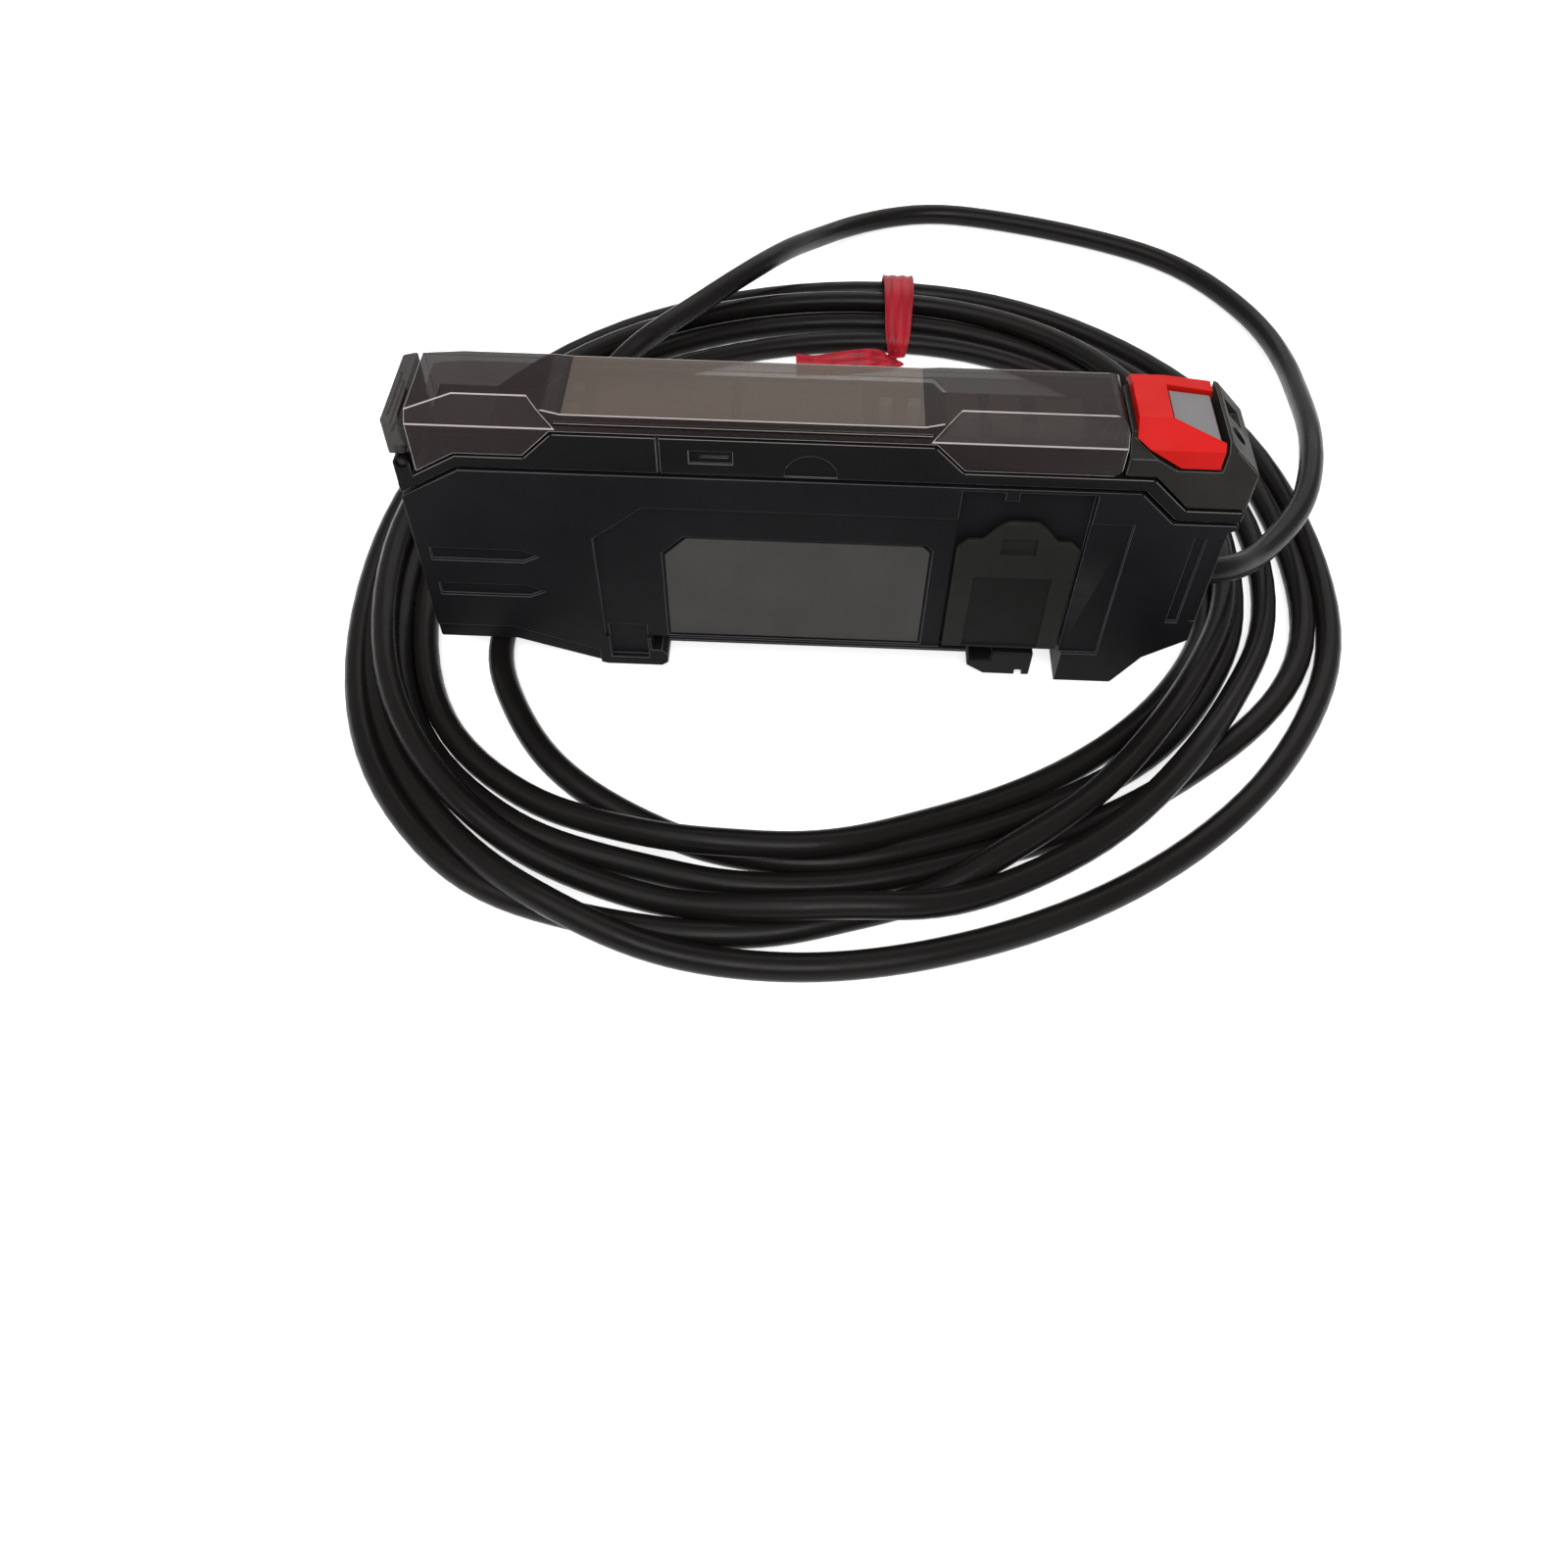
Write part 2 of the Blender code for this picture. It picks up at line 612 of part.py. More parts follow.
def housing_edge(lift):
    """Lower edge of the cover and the end block: strip, flange and strip."""
    strip = seam_line(STRIP_HEIGHT)
    line = [(x, z + lift) for x, z in strip]
    return line[:2] + [
        (WINDOW_LEFT - BAY_RAMP, SEAM_Z + STRIP_HEIGHT + lift),
        (WINDOW_LEFT, FLANGE_Z + lift),
        (WINDOW_RIGHT, FLANGE_Z + lift),
        (WINDOW_RIGHT + BAY_RAMP, SEAM_Z + STRIP_HEIGHT + lift),
    ] + line[2:]


def chamfer_wedge(name, start, end, run_out_start, run_out_end, width, front=True, inset=0.0):
    """Cutter for a 45 degree chamfer along the top front or back edge.

    The ends may run out at a slant, as the window's corners do: there the
    chamfer is shorter at its top than at its foot. An inset moves it inwards.
    """
    slope = width * math.sqrt(2)
    before = run_out_start / slope
    after = run_out_end / slope
    outline = [
        (start + before * (slope + OVER), -OVER), (end - after * (slope + OVER), -OVER),
        (end + after * OVER, slope + OVER), (start - before * OVER, slope + OVER),
    ]
    half = math.sqrt(0.5)
    side = -1 if front else 1
    across = Vector((1, 0, 0))
    down = Vector((0, side * half, -half))
    out = Vector((0, side * half, half))
    origin = Vector((0, side * (BODY_WIDTH / 2 - width), BODY_HEIGHT)) - out * inset
    matrix = Matrix((
        (across.x, down.x, out.x, origin.x),
        (across.y, down.y, out.y, origin.y),
        (across.z, down.z, out.z, origin.z),
        (0, 0, 0, 1)))
    return prism(name, outline, 0, 3 * width, matrix)


def build_lower_case():
    """Black lower housing with the rail seat, side recesses and boards' bay."""
    slope_start = SEAT_LEFT - HOOK_BLOCK
    slope_end = LEFT + FIBRE_FOOT_LENGTH
    end_x = RIGHT - END_RECESS
    block_z = SEAM_END_Z - END_BLOCK_DROP
    outline = [
        (LEFT, FIBRE_FOOT_RAISE), (slope_end, FIBRE_FOOT_RAISE), (slope_start, 0),
        (RIGHT - HEEL_LENGTH, 0), (RIGHT - HEEL_SLOPE_LENGTH, HEEL_SLOPE_Z), (end_x, HEEL_TOP_Z),
        (end_x, block_z), (RIGHT, block_z + END_RECESS / 2),
    ]
    case = prism("lower_case", outline + seam_line(-GAP / 2)[::-1], FRONT, BACK)
    round_edges(case)

    cavity = block("case_cavity", (CAVITY_LEFT, CAVITY_RIGHT), (CAVITY_FRONT, CAVITY_BACK),
                   (CAVITY_FLOOR, BODY_HEIGHT))
    lip = SEAT_LEFT + HOOK_REACH
    claw_tip = SEAT_RIGHT - LATCH_REACH
    ramp_foot = lip - HOOK_RAMP * (1 + OVER / HOOK_LIP_BOTTOM)
    seat_outline = [
        (ramp_foot, -OVER), (lip, HOOK_LIP_BOTTOM), (lip, HOOK_LIP_TOP - 2 * GAP),
        (lip - 2 * GAP, HOOK_LIP_TOP),
        (SEAT_LEFT, HOOK_LIP_TOP), (SEAT_LEFT, SEAT_DEPTH + SEAT_RELIEF),
        (lip + GAP, SEAT_DEPTH + SEAT_RELIEF), (lip + GAP, SEAT_DEPTH),
        (claw_tip - GAP, SEAT_DEPTH), (claw_tip - GAP, SEAT_DEPTH + SEAT_RELIEF),
        (SEAT_RIGHT + LATCH_BAY, SEAT_DEPTH + SEAT_RELIEF), (SEAT_RIGHT + LATCH_BAY, -OVER),
    ]
    seat = prism("rail_seat", seat_outline, FRONT - OVER, BACK + OVER)
    latch_slot = block(
        "latch_slot",
        (SEAT_RIGHT + LATCH_STEM - GAP, SEAT_RIGHT + 2 * LATCH_STEM + LATCH_TRAVEL + GAP),
        (-LATCH_STEM_WIDTH / 2 - GAP, LATCH_STEM_WIDTH / 2 + GAP),
        (SEAT_DEPTH - OVER, CAVITY_FLOOR + OVER))
    band_outline = [
        (LEFT - OVER, -OVER), (slope_start - 2 * GAP, -OVER), (slope_start - 2 * GAP, FOOT_BAND),
        (slope_end, FIBRE_FOOT_RAISE + FOOT_BAND), (LEFT - OVER, FIBRE_FOOT_RAISE + FOOT_BAND),
    ]
    cut(case,
        prism("foot_band_front", band_outline, FRONT - OVER, FRONT + FOOT_BAND_DEPTH),
        prism("foot_band_back", band_outline, BACK - FOOT_BAND_DEPTH, BACK + OVER),
        cavity, seat, latch_slot)

    panel_outline = [
        (PANEL_LEFT, SEAT_DEPTH + GAP), (PANEL_LEFT, PANEL_SHOULDER),
        (PANEL_LEFT + (PANEL_TOP - PANEL_SHOULDER) * PANEL_SLOPE, PANEL_TOP), (PANEL_RIGHT, PANEL_TOP),
        (PANEL_RIGHT, SEAT_DEPTH + GAP),
    ]
    cut(case, prism("side_panel", panel_outline, FRONT - OVER, FRONT + PANEL_DEPTH))
    plate_face = FRONT + PANEL_DEPTH
    cut(case, prism("plate_pocket", plate_outline(0), plate_face - OVER, plate_face + PLATE_POCKET))

    cap_bay = prism("cap_bay", [
        (CAP_LEFT - GAP, SEAT_DEPTH + GAP), (CAP_LEFT - GAP, CAP_BAY_TOP),
        (CAP_LEFT + CAP_NOTCH + GAP, CAP_BAY_TOP), (CAP_LEFT + CAP_NOTCH + GAP, CAP_BAY_TOP - OVER),
        (CAP_LEFT + CAP_NOTCH + 2 * GAP + OVER, CAP_BAY_TOP - OVER),
        (CAP_LEFT + CAP_NOTCH + 2 * GAP + OVER, CAP_BAY_TOP), (CAP_RIGHT + GAP, CAP_BAY_TOP),
        (CAP_RIGHT + GAP, SEAT_DEPTH + GAP)], FRONT - OVER, FRONT + CAP_POCKET)
    middle = (CAP_LEFT + CAP_RIGHT) / 2
    socket_hole = block(
        "socket_hole", (middle - SOCKET_WIDTH / 2 - GAP, middle + SOCKET_WIDTH / 2 + GAP),
        (FRONT - OVER, CAVITY_FRONT + OVER), (SOCKET_BOTTOM - GAP, SOCKET_TOP + GAP))
    cut(case, cap_bay, socket_hole)

    for place, height in (("upper", FIBRE_UPPER_Z), ("lower", FIBRE_LOWER_Z)):
        sleeve = FIBRE_BORE + BUSH_WALL
        cut(case,
            rod("fibre_hole_" + place, sleeve + GAP, (LEFT - OVER, 0, height),
                (CAVITY_LEFT + OVER, 0, height)),
            rod("fibre_face_" + place, sleeve + BUSH_FLANGE + GAP / 2, (LEFT - OVER, 0, height),
                (LEFT + BUSH_FLANGE_LENGTH + GAP, 0, height)))
        start = LEFT + GUIDE_INSET
        end = start + GUIDE_LENGTH
        neck = end - 2 * GUIDE_HALF
        arrow = [
            (start, height - GUIDE_HALF), (neck, height - GUIDE_HALF), (end, height),
            (neck, height + GUIDE_HALF), (start, height + GUIDE_HALF),
        ]
        cut(case, prism("fibre_guide_" + place, arrow, FRONT - OVER, FRONT + PANEL_DEPTH))

    channel = block("outlet_channel", (OUTLET_FACE, RIGHT + OVER), (-CHANNEL_HALF, CHANNEL_HALF),
                    (CHANNEL_BOTTOM, CHANNEL_TOP))
    gland_hole = rod("gland_hole", GLAND_RADIUS + GAP, (CAVITY_RIGHT - OVER, 0, OUTLET_Z),
                     (OUTLET_FACE + OVER, 0, OUTLET_Z), 32)
    gland_seat = rod("gland_seat", GLAND_RADIUS + GLAND_FLANGE + GAP / 2,
                     (GLAND_INNER - GAP, 0, OUTLET_Z), (CAVITY_RIGHT, 0, OUTLET_Z), 32)
    cut(case, channel, gland_hole, gland_seat)
    for side, low, high in (("front", FRONT - OVER, FRONT + PANEL_DEPTH),
                            ("back", BACK - PANEL_DEPTH, BACK + OVER)):
        for number in range(2):
            left = OUTLET_FACE - RIB_WIDTH + number * 2 * RIB_WIDTH
            cut(case, block(f"end_rib_{side}_{number}", (left, left + RIB_WIDTH), (low, high),
                            (CHANNEL_BOTTOM + OVER, CHANNEL_TOP)))
    hook_recess = block("hook_recess", (SEAT_LEFT - HOOK_BLOCK + 2 * GAP, SEAT_LEFT - GAP),
                        (FRONT - OVER, FRONT + HOOK_RECESS_DEPTH),
                        (HOOK_RECESS_BOTTOM, HOOK_RECESS_TOP))
    cut(case, hook_recess)
    return finish(case, (0.012, 0.012, 0.013), 0.45)


def plate_outline(inset):
    """Outline of the rating plate, cut at its two top corners."""
    left = PLATE_LEFT + inset
    right = PLATE_RIGHT - inset
    bottom = PLATE_BOTTOM + inset
    top = PLATE_TOP - inset
    return [
        (left, bottom), (left, top - PLATE_CORNER), (left + PLATE_CORNER, top),
        (right - PLATE_CORNER / 3, top), (right, top - PLATE_CORNER / 3), (right, bottom),
    ]


def build_rating_plate():
    """Bare grey plate glued into its side pocket."""
    floor = FRONT + PANEL_DEPTH + PLATE_POCKET
    plate = prism("rating_plate", plate_outline(GAP), floor - PLATE_THICKNESS, floor - GAP / 6)
    return finish(plate, (0.075, 0.073, 0.07), 0.5)


def key_stations():
    """Left and right ends of the keys in the row at the cable end."""
    stations = {}
    start = KEY_ROW_START
    for name, length in (("set_button", SET_KEY_LENGTH), ("mode_button", MODE_KEY_LENGTH),
                         ("adjust_rocker", ROCKER_LENGTH)):
        stations[name] = (start, start + length)
        start += length + KEY_SPACING
    return stations


def display_stations():
    """Left and right ends of the two display modules."""
    end = WINDOW_RIGHT - SWITCH_BAY
    room = end - DISPLAY_START - DISPLAY_BRIDGE
    first = DISPLAY_START + DISPLAY_SHARE * room
    return {"display_left": (DISPLAY_START, first), "display_right": (first + DISPLAY_BRIDGE, end)}


def switch_centres():
    """Middles of the two selector switches right of the displays."""
    edge = display_stations()["display_right"][1]
    first = edge + DISPLAY_BRIDGE + SWITCH_KNOB
    return {"output_switch": first, "channel_switch": first + SWITCH_SPACING}


def build_upper_bezel():
    """Black deck that carries the displays, keys, hinge ears and lever posts."""
    top = housing_edge(-GAP)
    bottom = seam_line(GAP / 2)
    bezel = prism("upper_bezel", bottom + top[::-1], FRONT, BACK)
    round_edges(bezel)

    left_tower = block("fibre_tower", (COVER_LEFT + COVER_WALL + GAP, WINDOW_LEFT + OVER),
                       (-TOWER_HALF, TOWER_HALF), (SEAM_Z + GAP, FIBRE_DECK_Z))
    right_tower = block("key_tower", (WINDOW_RIGHT - OVER, COVER_RIGHT), (-TOWER_HALF, TOWER_HALF),
                        (SEAM_Z + GAP, KEY_DECK_Z))
    tongue = block("tongue", (COVER_LEFT + COVER_WALL + GAP, RIGHT - SEAM_RIGHT_END - SEAM_RIGHT_RUN),
                   (CAVITY_FRONT + GAP, CAVITY_BACK - GAP), (SEAM_Z - OVER, SEAM_Z + OVER))
    join(bezel, left_tower, right_tower, tongue)

    for side, sign in (("front", -1), ("back", 1)):
        outer = sign * HINGE_EAR_OUTER
        inner = sign * (HINGE_EAR_OUTER - HINGE_EAR_THICKNESS)
        low, high = min(outer, inner), max(outer, inner)
        ear = arc((HINGE_X, HINGE_Z), HINGE_EAR_RADIUS, 0, 180, 10)
        base = KEY_DECK_Z - OVER
        ear += [(HINGE_X - HINGE_EAR_RADIUS, base), (HINGE_X + HINGE_EAR_RADIUS, base)]
        join(bezel, prism("hinge_ear_" + side, ear, low, high))

        post_low, post_high = sorted((sign * (BACK - LEVER_POST_WIDTH), sign * BACK))
        post = arc((LEVER_X, LEVER_Z), LEVER_POST_RADIUS, 0, 180, 10)
        base = SEAM_END_Z + OVER
        post += [(LEVER_X - LEVER_POST_RADIUS, base), (LEVER_X + LEVER_POST_RADIUS, base)]
        join(bezel, prism("lever_post_" + side, post, post_low, post_high))

    cut(bezel,
        rod("hinge_hole", HINGE_PIN_RADIUS + PIN_CLEARANCE, (HINGE_X, -BODY_WIDTH, HINGE_Z),
            (HINGE_X, BODY_WIDTH, HINGE_Z)),
        rod("lever_hole", LEVER_PIN_RADIUS + PIN_CLEARANCE, (LEVER_X, -BODY_WIDTH, LEVER_Z),
            (LEVER_X, BODY_WIDTH, LEVER_Z)))

    cut(bezel, *strip_details())
    for name, (start, end) in display_stations().items():
        cut(bezel, block(name + "_window", (start - GAP, end + GAP),
                         (-DECK_HALF - GAP, DECK_HALF + GAP),
                         (DISPLAY_BOARD_TOP, BODY_HEIGHT)))
    for name, (start, end) in key_stations().items():
        cut(bezel, block(name + "_hole", (start - GAP, end + GAP),
                         (-KEY_HALF - GAP, KEY_HALF + GAP),
                         (DISPLAY_BOARD_TOP, BODY_HEIGHT)))
    half = PRESET_KEY_LENGTH / 2
    cut(bezel, block("preset_hole", (PRESET_CENTRE - half - GAP, PRESET_CENTRE + half + GAP),
                     (-KEY_HALF - GAP, KEY_HALF + GAP), (DISPLAY_BOARD_TOP, BODY_HEIGHT)))
    for name, centre in switch_centres().items():
        cut(bezel, block(name + "_slot", (centre - SWITCH_KNOB / 2 - GAP, centre + SWITCH_KNOB / 2 + GAP),
                         (-SWITCH_TRAVEL / 2 - SWITCH_KNOB / 2 - GAP,
                          SWITCH_TRAVEL / 2 + SWITCH_KNOB / 2 + GAP),
                         (DISPLAY_BOARD_TOP, BODY_HEIGHT)))
    for name, (across, along) in lamp_centres().items():
        cut(bezel, rod(name + "_hole", LAMP_RADIUS + GAP, (across, along, DISPLAY_BOARD_TOP),
                       (across, along, BODY_HEIGHT), 20))
    return finish(bezel, (0.012, 0.012, 0.013), 0.42)


def strip_details():
    """Cutters for the joint line, catch slot and thumb dip on the strip's front face."""
    face = (FRONT - OVER, FRONT + STRIP_CUT)
    low = SEAM_Z + 2 * GAP
    high = FLANGE_Z - 2 * GAP
    middle = (low + high) / 2
    joint_x = WINDOW_LEFT + STRIP_JOINT
    catch_x = joint_x + STRIP_CATCH
    moon_x = catch_x + STRIP_MOON
    moon = arc((moon_x, SEAM_Z + GAP), MOON_RADIUS, 0, 180, 12)
    return [
        block("strip_joint", (joint_x, joint_x + GAP), face, (SEAM_Z - OVER, FLANGE_Z + OVER)),
        block("strip_catch", (catch_x - CATCH_LENGTH / 2, catch_x + CATCH_LENGTH / 2), face,
              (middle - CATCH_HEIGHT / 2, middle + CATCH_HEIGHT / 2)),
        block("strip_slot", (catch_x - CATCH_LENGTH / 4, catch_x + CATCH_LENGTH / 2 - GAP),
              (FRONT - OVER, FRONT + 2 * STRIP_CUT), (middle - GAP / 2, middle + GAP / 2)),
        prism("strip_moon", moon, *face),
    ]


def lamp_centres():
    """Places in plan of the two lenses between the fibre bay and the displays."""
    across = (WINDOW_LEFT + DISPLAY_START) / 2
    return {"output_lamp": (across, -DECK_HALF / 2), "power_lamp": (across, DECK_HALF / 2)}


def cover_top(drop):
    """Top line of the cover from right to left, lowered by some depth."""
    return [
        (COVER_RIGHT, BODY_HEIGHT - drop),
        (WINDOW_RIGHT + WINDOW_DROP, BODY_HEIGHT - drop),
        (WINDOW_RIGHT - CHAMFER_RUN_OUT / 2, BODY_HEIGHT - WINDOW_DROP - drop),
        (WINDOW_LEFT + CHAMFER_RUN_OUT / 2, BODY_HEIGHT - WINDOW_DROP - drop),
        (WINDOW_LEFT - WINDOW_DROP, BODY_HEIGHT - drop),
        (LEFT + NOSE_RUN, BODY_HEIGHT - drop),
    ]


def nose_height(x):
    """Height of the sloped nose over the fibre end at a station along X."""
    return BODY_HEIGHT - NOSE_DROP * (LEFT + NOSE_RUN - x) / NOSE_RUN


def build_dust_cover():
    """Smoked hinged cover, hollow below, with two pins in the bezel's ears."""
    edge = housing_edge(0)
    slope = (edge[1][1] - edge[0][1]) / (edge[1][0] - edge[0][0])
    left_bottom = edge[0][1] + slope * (COVER_LEFT - LEFT)
    corner = arc((COVER_RIGHT - COVER_CORNER, BODY_HEIGHT - COVER_CORNER), COVER_CORNER, 0, 90, 6)
    heel = arc((COVER_RIGHT - COVER_WALL, edge[5][1] + COVER_WALL), COVER_WALL, 270, 360, 4)
    outline = [(COVER_LEFT, left_bottom), edge[1], edge[2], edge[3], edge[4], edge[5]]
    outline += heel + corner + cover_top(0)[1:] + [(COVER_LEFT, nose_height(COVER_LEFT))]
    cover = prism("dust_cover", outline, FRONT, BACK)

    inner_left = COVER_LEFT + COVER_WALL
    recess = HINGE_X - HINGE_EAR_RADIUS - COVER_WALL
    inner = [(inner_left, SEAM_END_Z - OVER), (COVER_RIGHT + OVER, SEAM_END_Z - OVER),
             (COVER_RIGHT + OVER, HINGE_Z + HINGE_EAR_RADIUS + GAP / 2),
             (recess, HINGE_Z + HINGE_EAR_RADIUS + GAP / 2),
             (recess, BODY_HEIGHT - COVER_PLATE)]
    inner += cover_top(COVER_PLATE)[1:] + [(inner_left, nose_height(inner_left) - COVER_PLATE)]
    half = BODY_WIDTH / 2 - COVER_WALL
    inside = prism("cover_inside", inner, -half, half)
    for obj, depth in ((inside, COVER_WALL * LEAN), (cover, 0.0)):
        label = obj.name
        cut(obj,
            chamfer_wedge(label + "_fibre_bay", LEFT - 2 * OVER, WINDOW_LEFT + WINDOW_DROP + depth, 0,
                          CHAMFER_RUN_OUT, FRONT_CHAMFER, inset=depth),
            chamfer_wedge(label + "_key_bay", WINDOW_RIGHT - WINDOW_DROP - depth, RIGHT,
                          CHAMFER_RUN_OUT, 0, FRONT_CHAMFER, inset=depth),
            chamfer_wedge(label + "_back", LEFT - 2 * OVER, RIGHT, 0, 0, BACK_CHAMFER, False, depth))
    cut(cover, inside)
    groove_top = BODY_HEIGHT - WINDOW_DROP - COVER_PLATE + WINDOW_GROOVE / 2
    cut(cover, block("window_groove", (WINDOW_LEFT + WINDOW_DROP, WINDOW_RIGHT - WINDOW_DROP),
                     (FRONT - OVER, FRONT + WINDOW_GROOVE_DEPTH),
                     (groove_top - WINDOW_GROOVE, groove_top)))
    for side, sign in (("front", -1), ("back", 1)):
        start = (HINGE_X, sign * (HINGE_EAR_OUTER + COVER_WALL + 2 * GAP), HINGE_Z)
        end = (HINGE_X, sign * (HINGE_EAR_OUTER - HINGE_EAR_THICKNESS + GAP), HINGE_Z)
        join(cover, rod("hinge_pin_" + side, HINGE_PIN_RADIUS, start, end))
    finish(cover, (0.09, 0.08, 0.085), 0.15, alpha=0.55)
    return pivot(cover, (HINGE_X, 0, HINGE_Z))


def pivot(obj, point):
    """Parent a moving piece to an empty that stands on its joint's axis."""
    holder = bpy.data.objects.new(obj.name + "_axis", None)
    holder.empty_display_size = 0.003
    holder.location = point
    PARTS.objects.link(holder)
    obj.parent = holder
    obj.matrix_parent_inverse = Matrix.Translation(-Vector(point))
    return obj


def build_lock_lever():
    """Thumb lever over the fibre end, turning outwards about its two pins."""
    pad_base = LEVER_Z + LEVER_POST_RADIUS + GAP
    pad_right = LEFT + LEVER_THICKNESS
    pad = prism("lock_lever", [
        (LEFT, pad_base), (pad_right, pad_base), (pad_right, nose_height(pad_right)),
        (LEFT, nose_height(LEFT))], FRONT, BACK)
    round_edges(pad, SMALL_ROUND)
    hub_half = BODY_WIDTH / 2 - LEVER_POST_WIDTH - GAP
    hub = arc((LEVER_X, LEVER_Z), LEVER_POST_RADIUS, 180, 360, 10)
    hub += [(LEVER_X + LEVER_POST_RADIUS, pad_base + GAP),
            (LEVER_X - LEVER_POST_RADIUS, pad_base + GAP)]
    join(pad, prism("lever_hub", hub, -hub_half, hub_half))
    pin_half = BODY_WIDTH / 2 - GAP
    join(pad, rod("lever_pin", LEVER_PIN_RADIUS, (LEVER_X, -pin_half, LEVER_Z),
                  (LEVER_X, pin_half, LEVER_Z)))
    cut(pad, chamfer_wedge("lever_chamfer", LEFT - OVER, RIGHT, 0, 0, FRONT_CHAMFER),
        chamfer_wedge("lever_back_chamfer", LEFT - OVER, RIGHT, 0, 0, BACK_CHAMFER, front=False))
    for number in range(GRIP_COUNT):
        low = pad_base + OVER + number * 2 * GRIP_WIDTH
        cut(pad, block(f"lever_grip_{number}", (LEFT - OVER, LEFT + GAP), (-GRIP_HALF, GRIP_HALF),
                       (low, low + GRIP_WIDTH)))
    finish(pad, (0.05, 0.045, 0.05), 0.2)
    return pivot(pad, (LEVER_X, 0, LEVER_Z))


def fall_wedge(name, sink, end):
    """Cutter for the red frame's top, which falls from its bar to the right end."""
    top = BODY_HEIGHT - sink
    return prism(name, [
        (FALL_START, top), (end, top - FALL_RATE * (end - FALL_START)), (end, BODY_HEIGHT + OVER),
        (FALL_START, BODY_HEIGHT + OVER)], FRONT - OVER, BACK + OVER)


def build_end_block():
    """Dark block at the cable end that carries the red frame."""
    edge = housing_edge(0)
    left = COVER_RIGHT + GAP
    core_top = BODY_HEIGHT - FRAME_WALL - GAP
    outline = [
        (left, edge[5][1]), edge[6], edge[7], edge[8], (RIGHT, SEAM_END_Z + SEAM_DEPTH - OVER),
        (RIGHT - END_SLOPE, BODY_HEIGHT - FRAME_FALL), (FRAME_RIGHT + GAP, core_top), (left, core_top),
    ]
    body = prism("end_block", outline, FRONT, BACK)
    round_edges(body, SMALL_ROUND)
    skirt = BODY_HEIGHT - FRAME_SKIRT
    wall = FRAME_WALL + GAP
    step_front = prism("frame_step_front", [
        (left - OVER, FLANGE_Z + OVER - GAP), (FRAME_LEFT - GAP, FLANGE_Z + OVER - GAP),
        (FRAME_LEFT + FRAME_RAMP - GAP, skirt - GAP), (FRAME_RIGHT + GAP, skirt - GAP),
        (FRAME_RIGHT + GAP, BODY_HEIGHT), (left - OVER, BODY_HEIGHT)], FRONT - OVER, FRONT + wall)
    step_back = block("frame_step_back", (left - OVER, FRAME_RIGHT + GAP),
                      (BACK - wall, BACK + OVER), (skirt - GAP, BODY_HEIGHT))
    bevel_step = BODY_WIDTH / 2 - FRONT_CHAMFER
    shoulder = cross_prism("frame_shoulder", [
        (-bevel_step, BODY_HEIGHT - wall * LEAN), (-bevel_step - 2 * FRONT_CHAMFER, BODY_HEIGHT),
        (-bevel_step - 2 * FRONT_CHAMFER, BODY_HEIGHT - 2 * FRONT_CHAMFER - wall * LEAN)],
        left - OVER, FRAME_RIGHT + GAP)
    rear = BODY_WIDTH / 2 - BACK_CHAMFER
    rear_shoulder = cross_prism("frame_rear_shoulder", [
        (rear, BODY_HEIGHT - wall * LEAN), (rear + 2 * BACK_CHAMFER, BODY_HEIGHT),
        (rear + 2 * BACK_CHAMFER, BODY_HEIGHT - 2 * BACK_CHAMFER - wall * LEAN)],
        left - OVER, FRAME_RIGHT + GAP)
    cut(body, step_front, step_back, shoulder, rear_shoulder,
        fall_wedge("end_fall", wall, FRAME_RIGHT + GAP))
    cut(body, chamfer_wedge("end_chamfer", FRAME_RIGHT, RIGHT + OVER, 0, 0, FRONT_CHAMFER),
        chamfer_wedge("end_back_chamfer", FRAME_RIGHT, RIGHT + OVER, 0, 0, BACK_CHAMFER, front=False))
    middle = (FRAME_RIGHT + RIGHT) / 2
    recess_floor = BODY_HEIGHT - END_RECESS_DEPTH
    cut(body, rod("end_socket", END_RECESS_HALF, (middle, -2 * END_RECESS_HALF, recess_floor),
                  (middle, -2 * END_RECESS_HALF, BODY_HEIGHT), 16),
        block("end_notch", (middle - END_RECESS_HALF, middle + END_RECESS_HALF),
              (END_RECESS_HALF / 2, WINDOW_BACKS[0] + OVER), (recess_floor, BODY_HEIGHT)))
    under = block("end_block_inside", (left + OVER, RIGHT - END_WALL), (-CHANNEL_HALF, CHANNEL_HALF),
                  (SEAM_END_Z, SEAM_Z + STRIP_HEIGHT + OVER))
    cut(body, under)
    return finish(body, (0.022, 0.022, 0.021), 0.3)


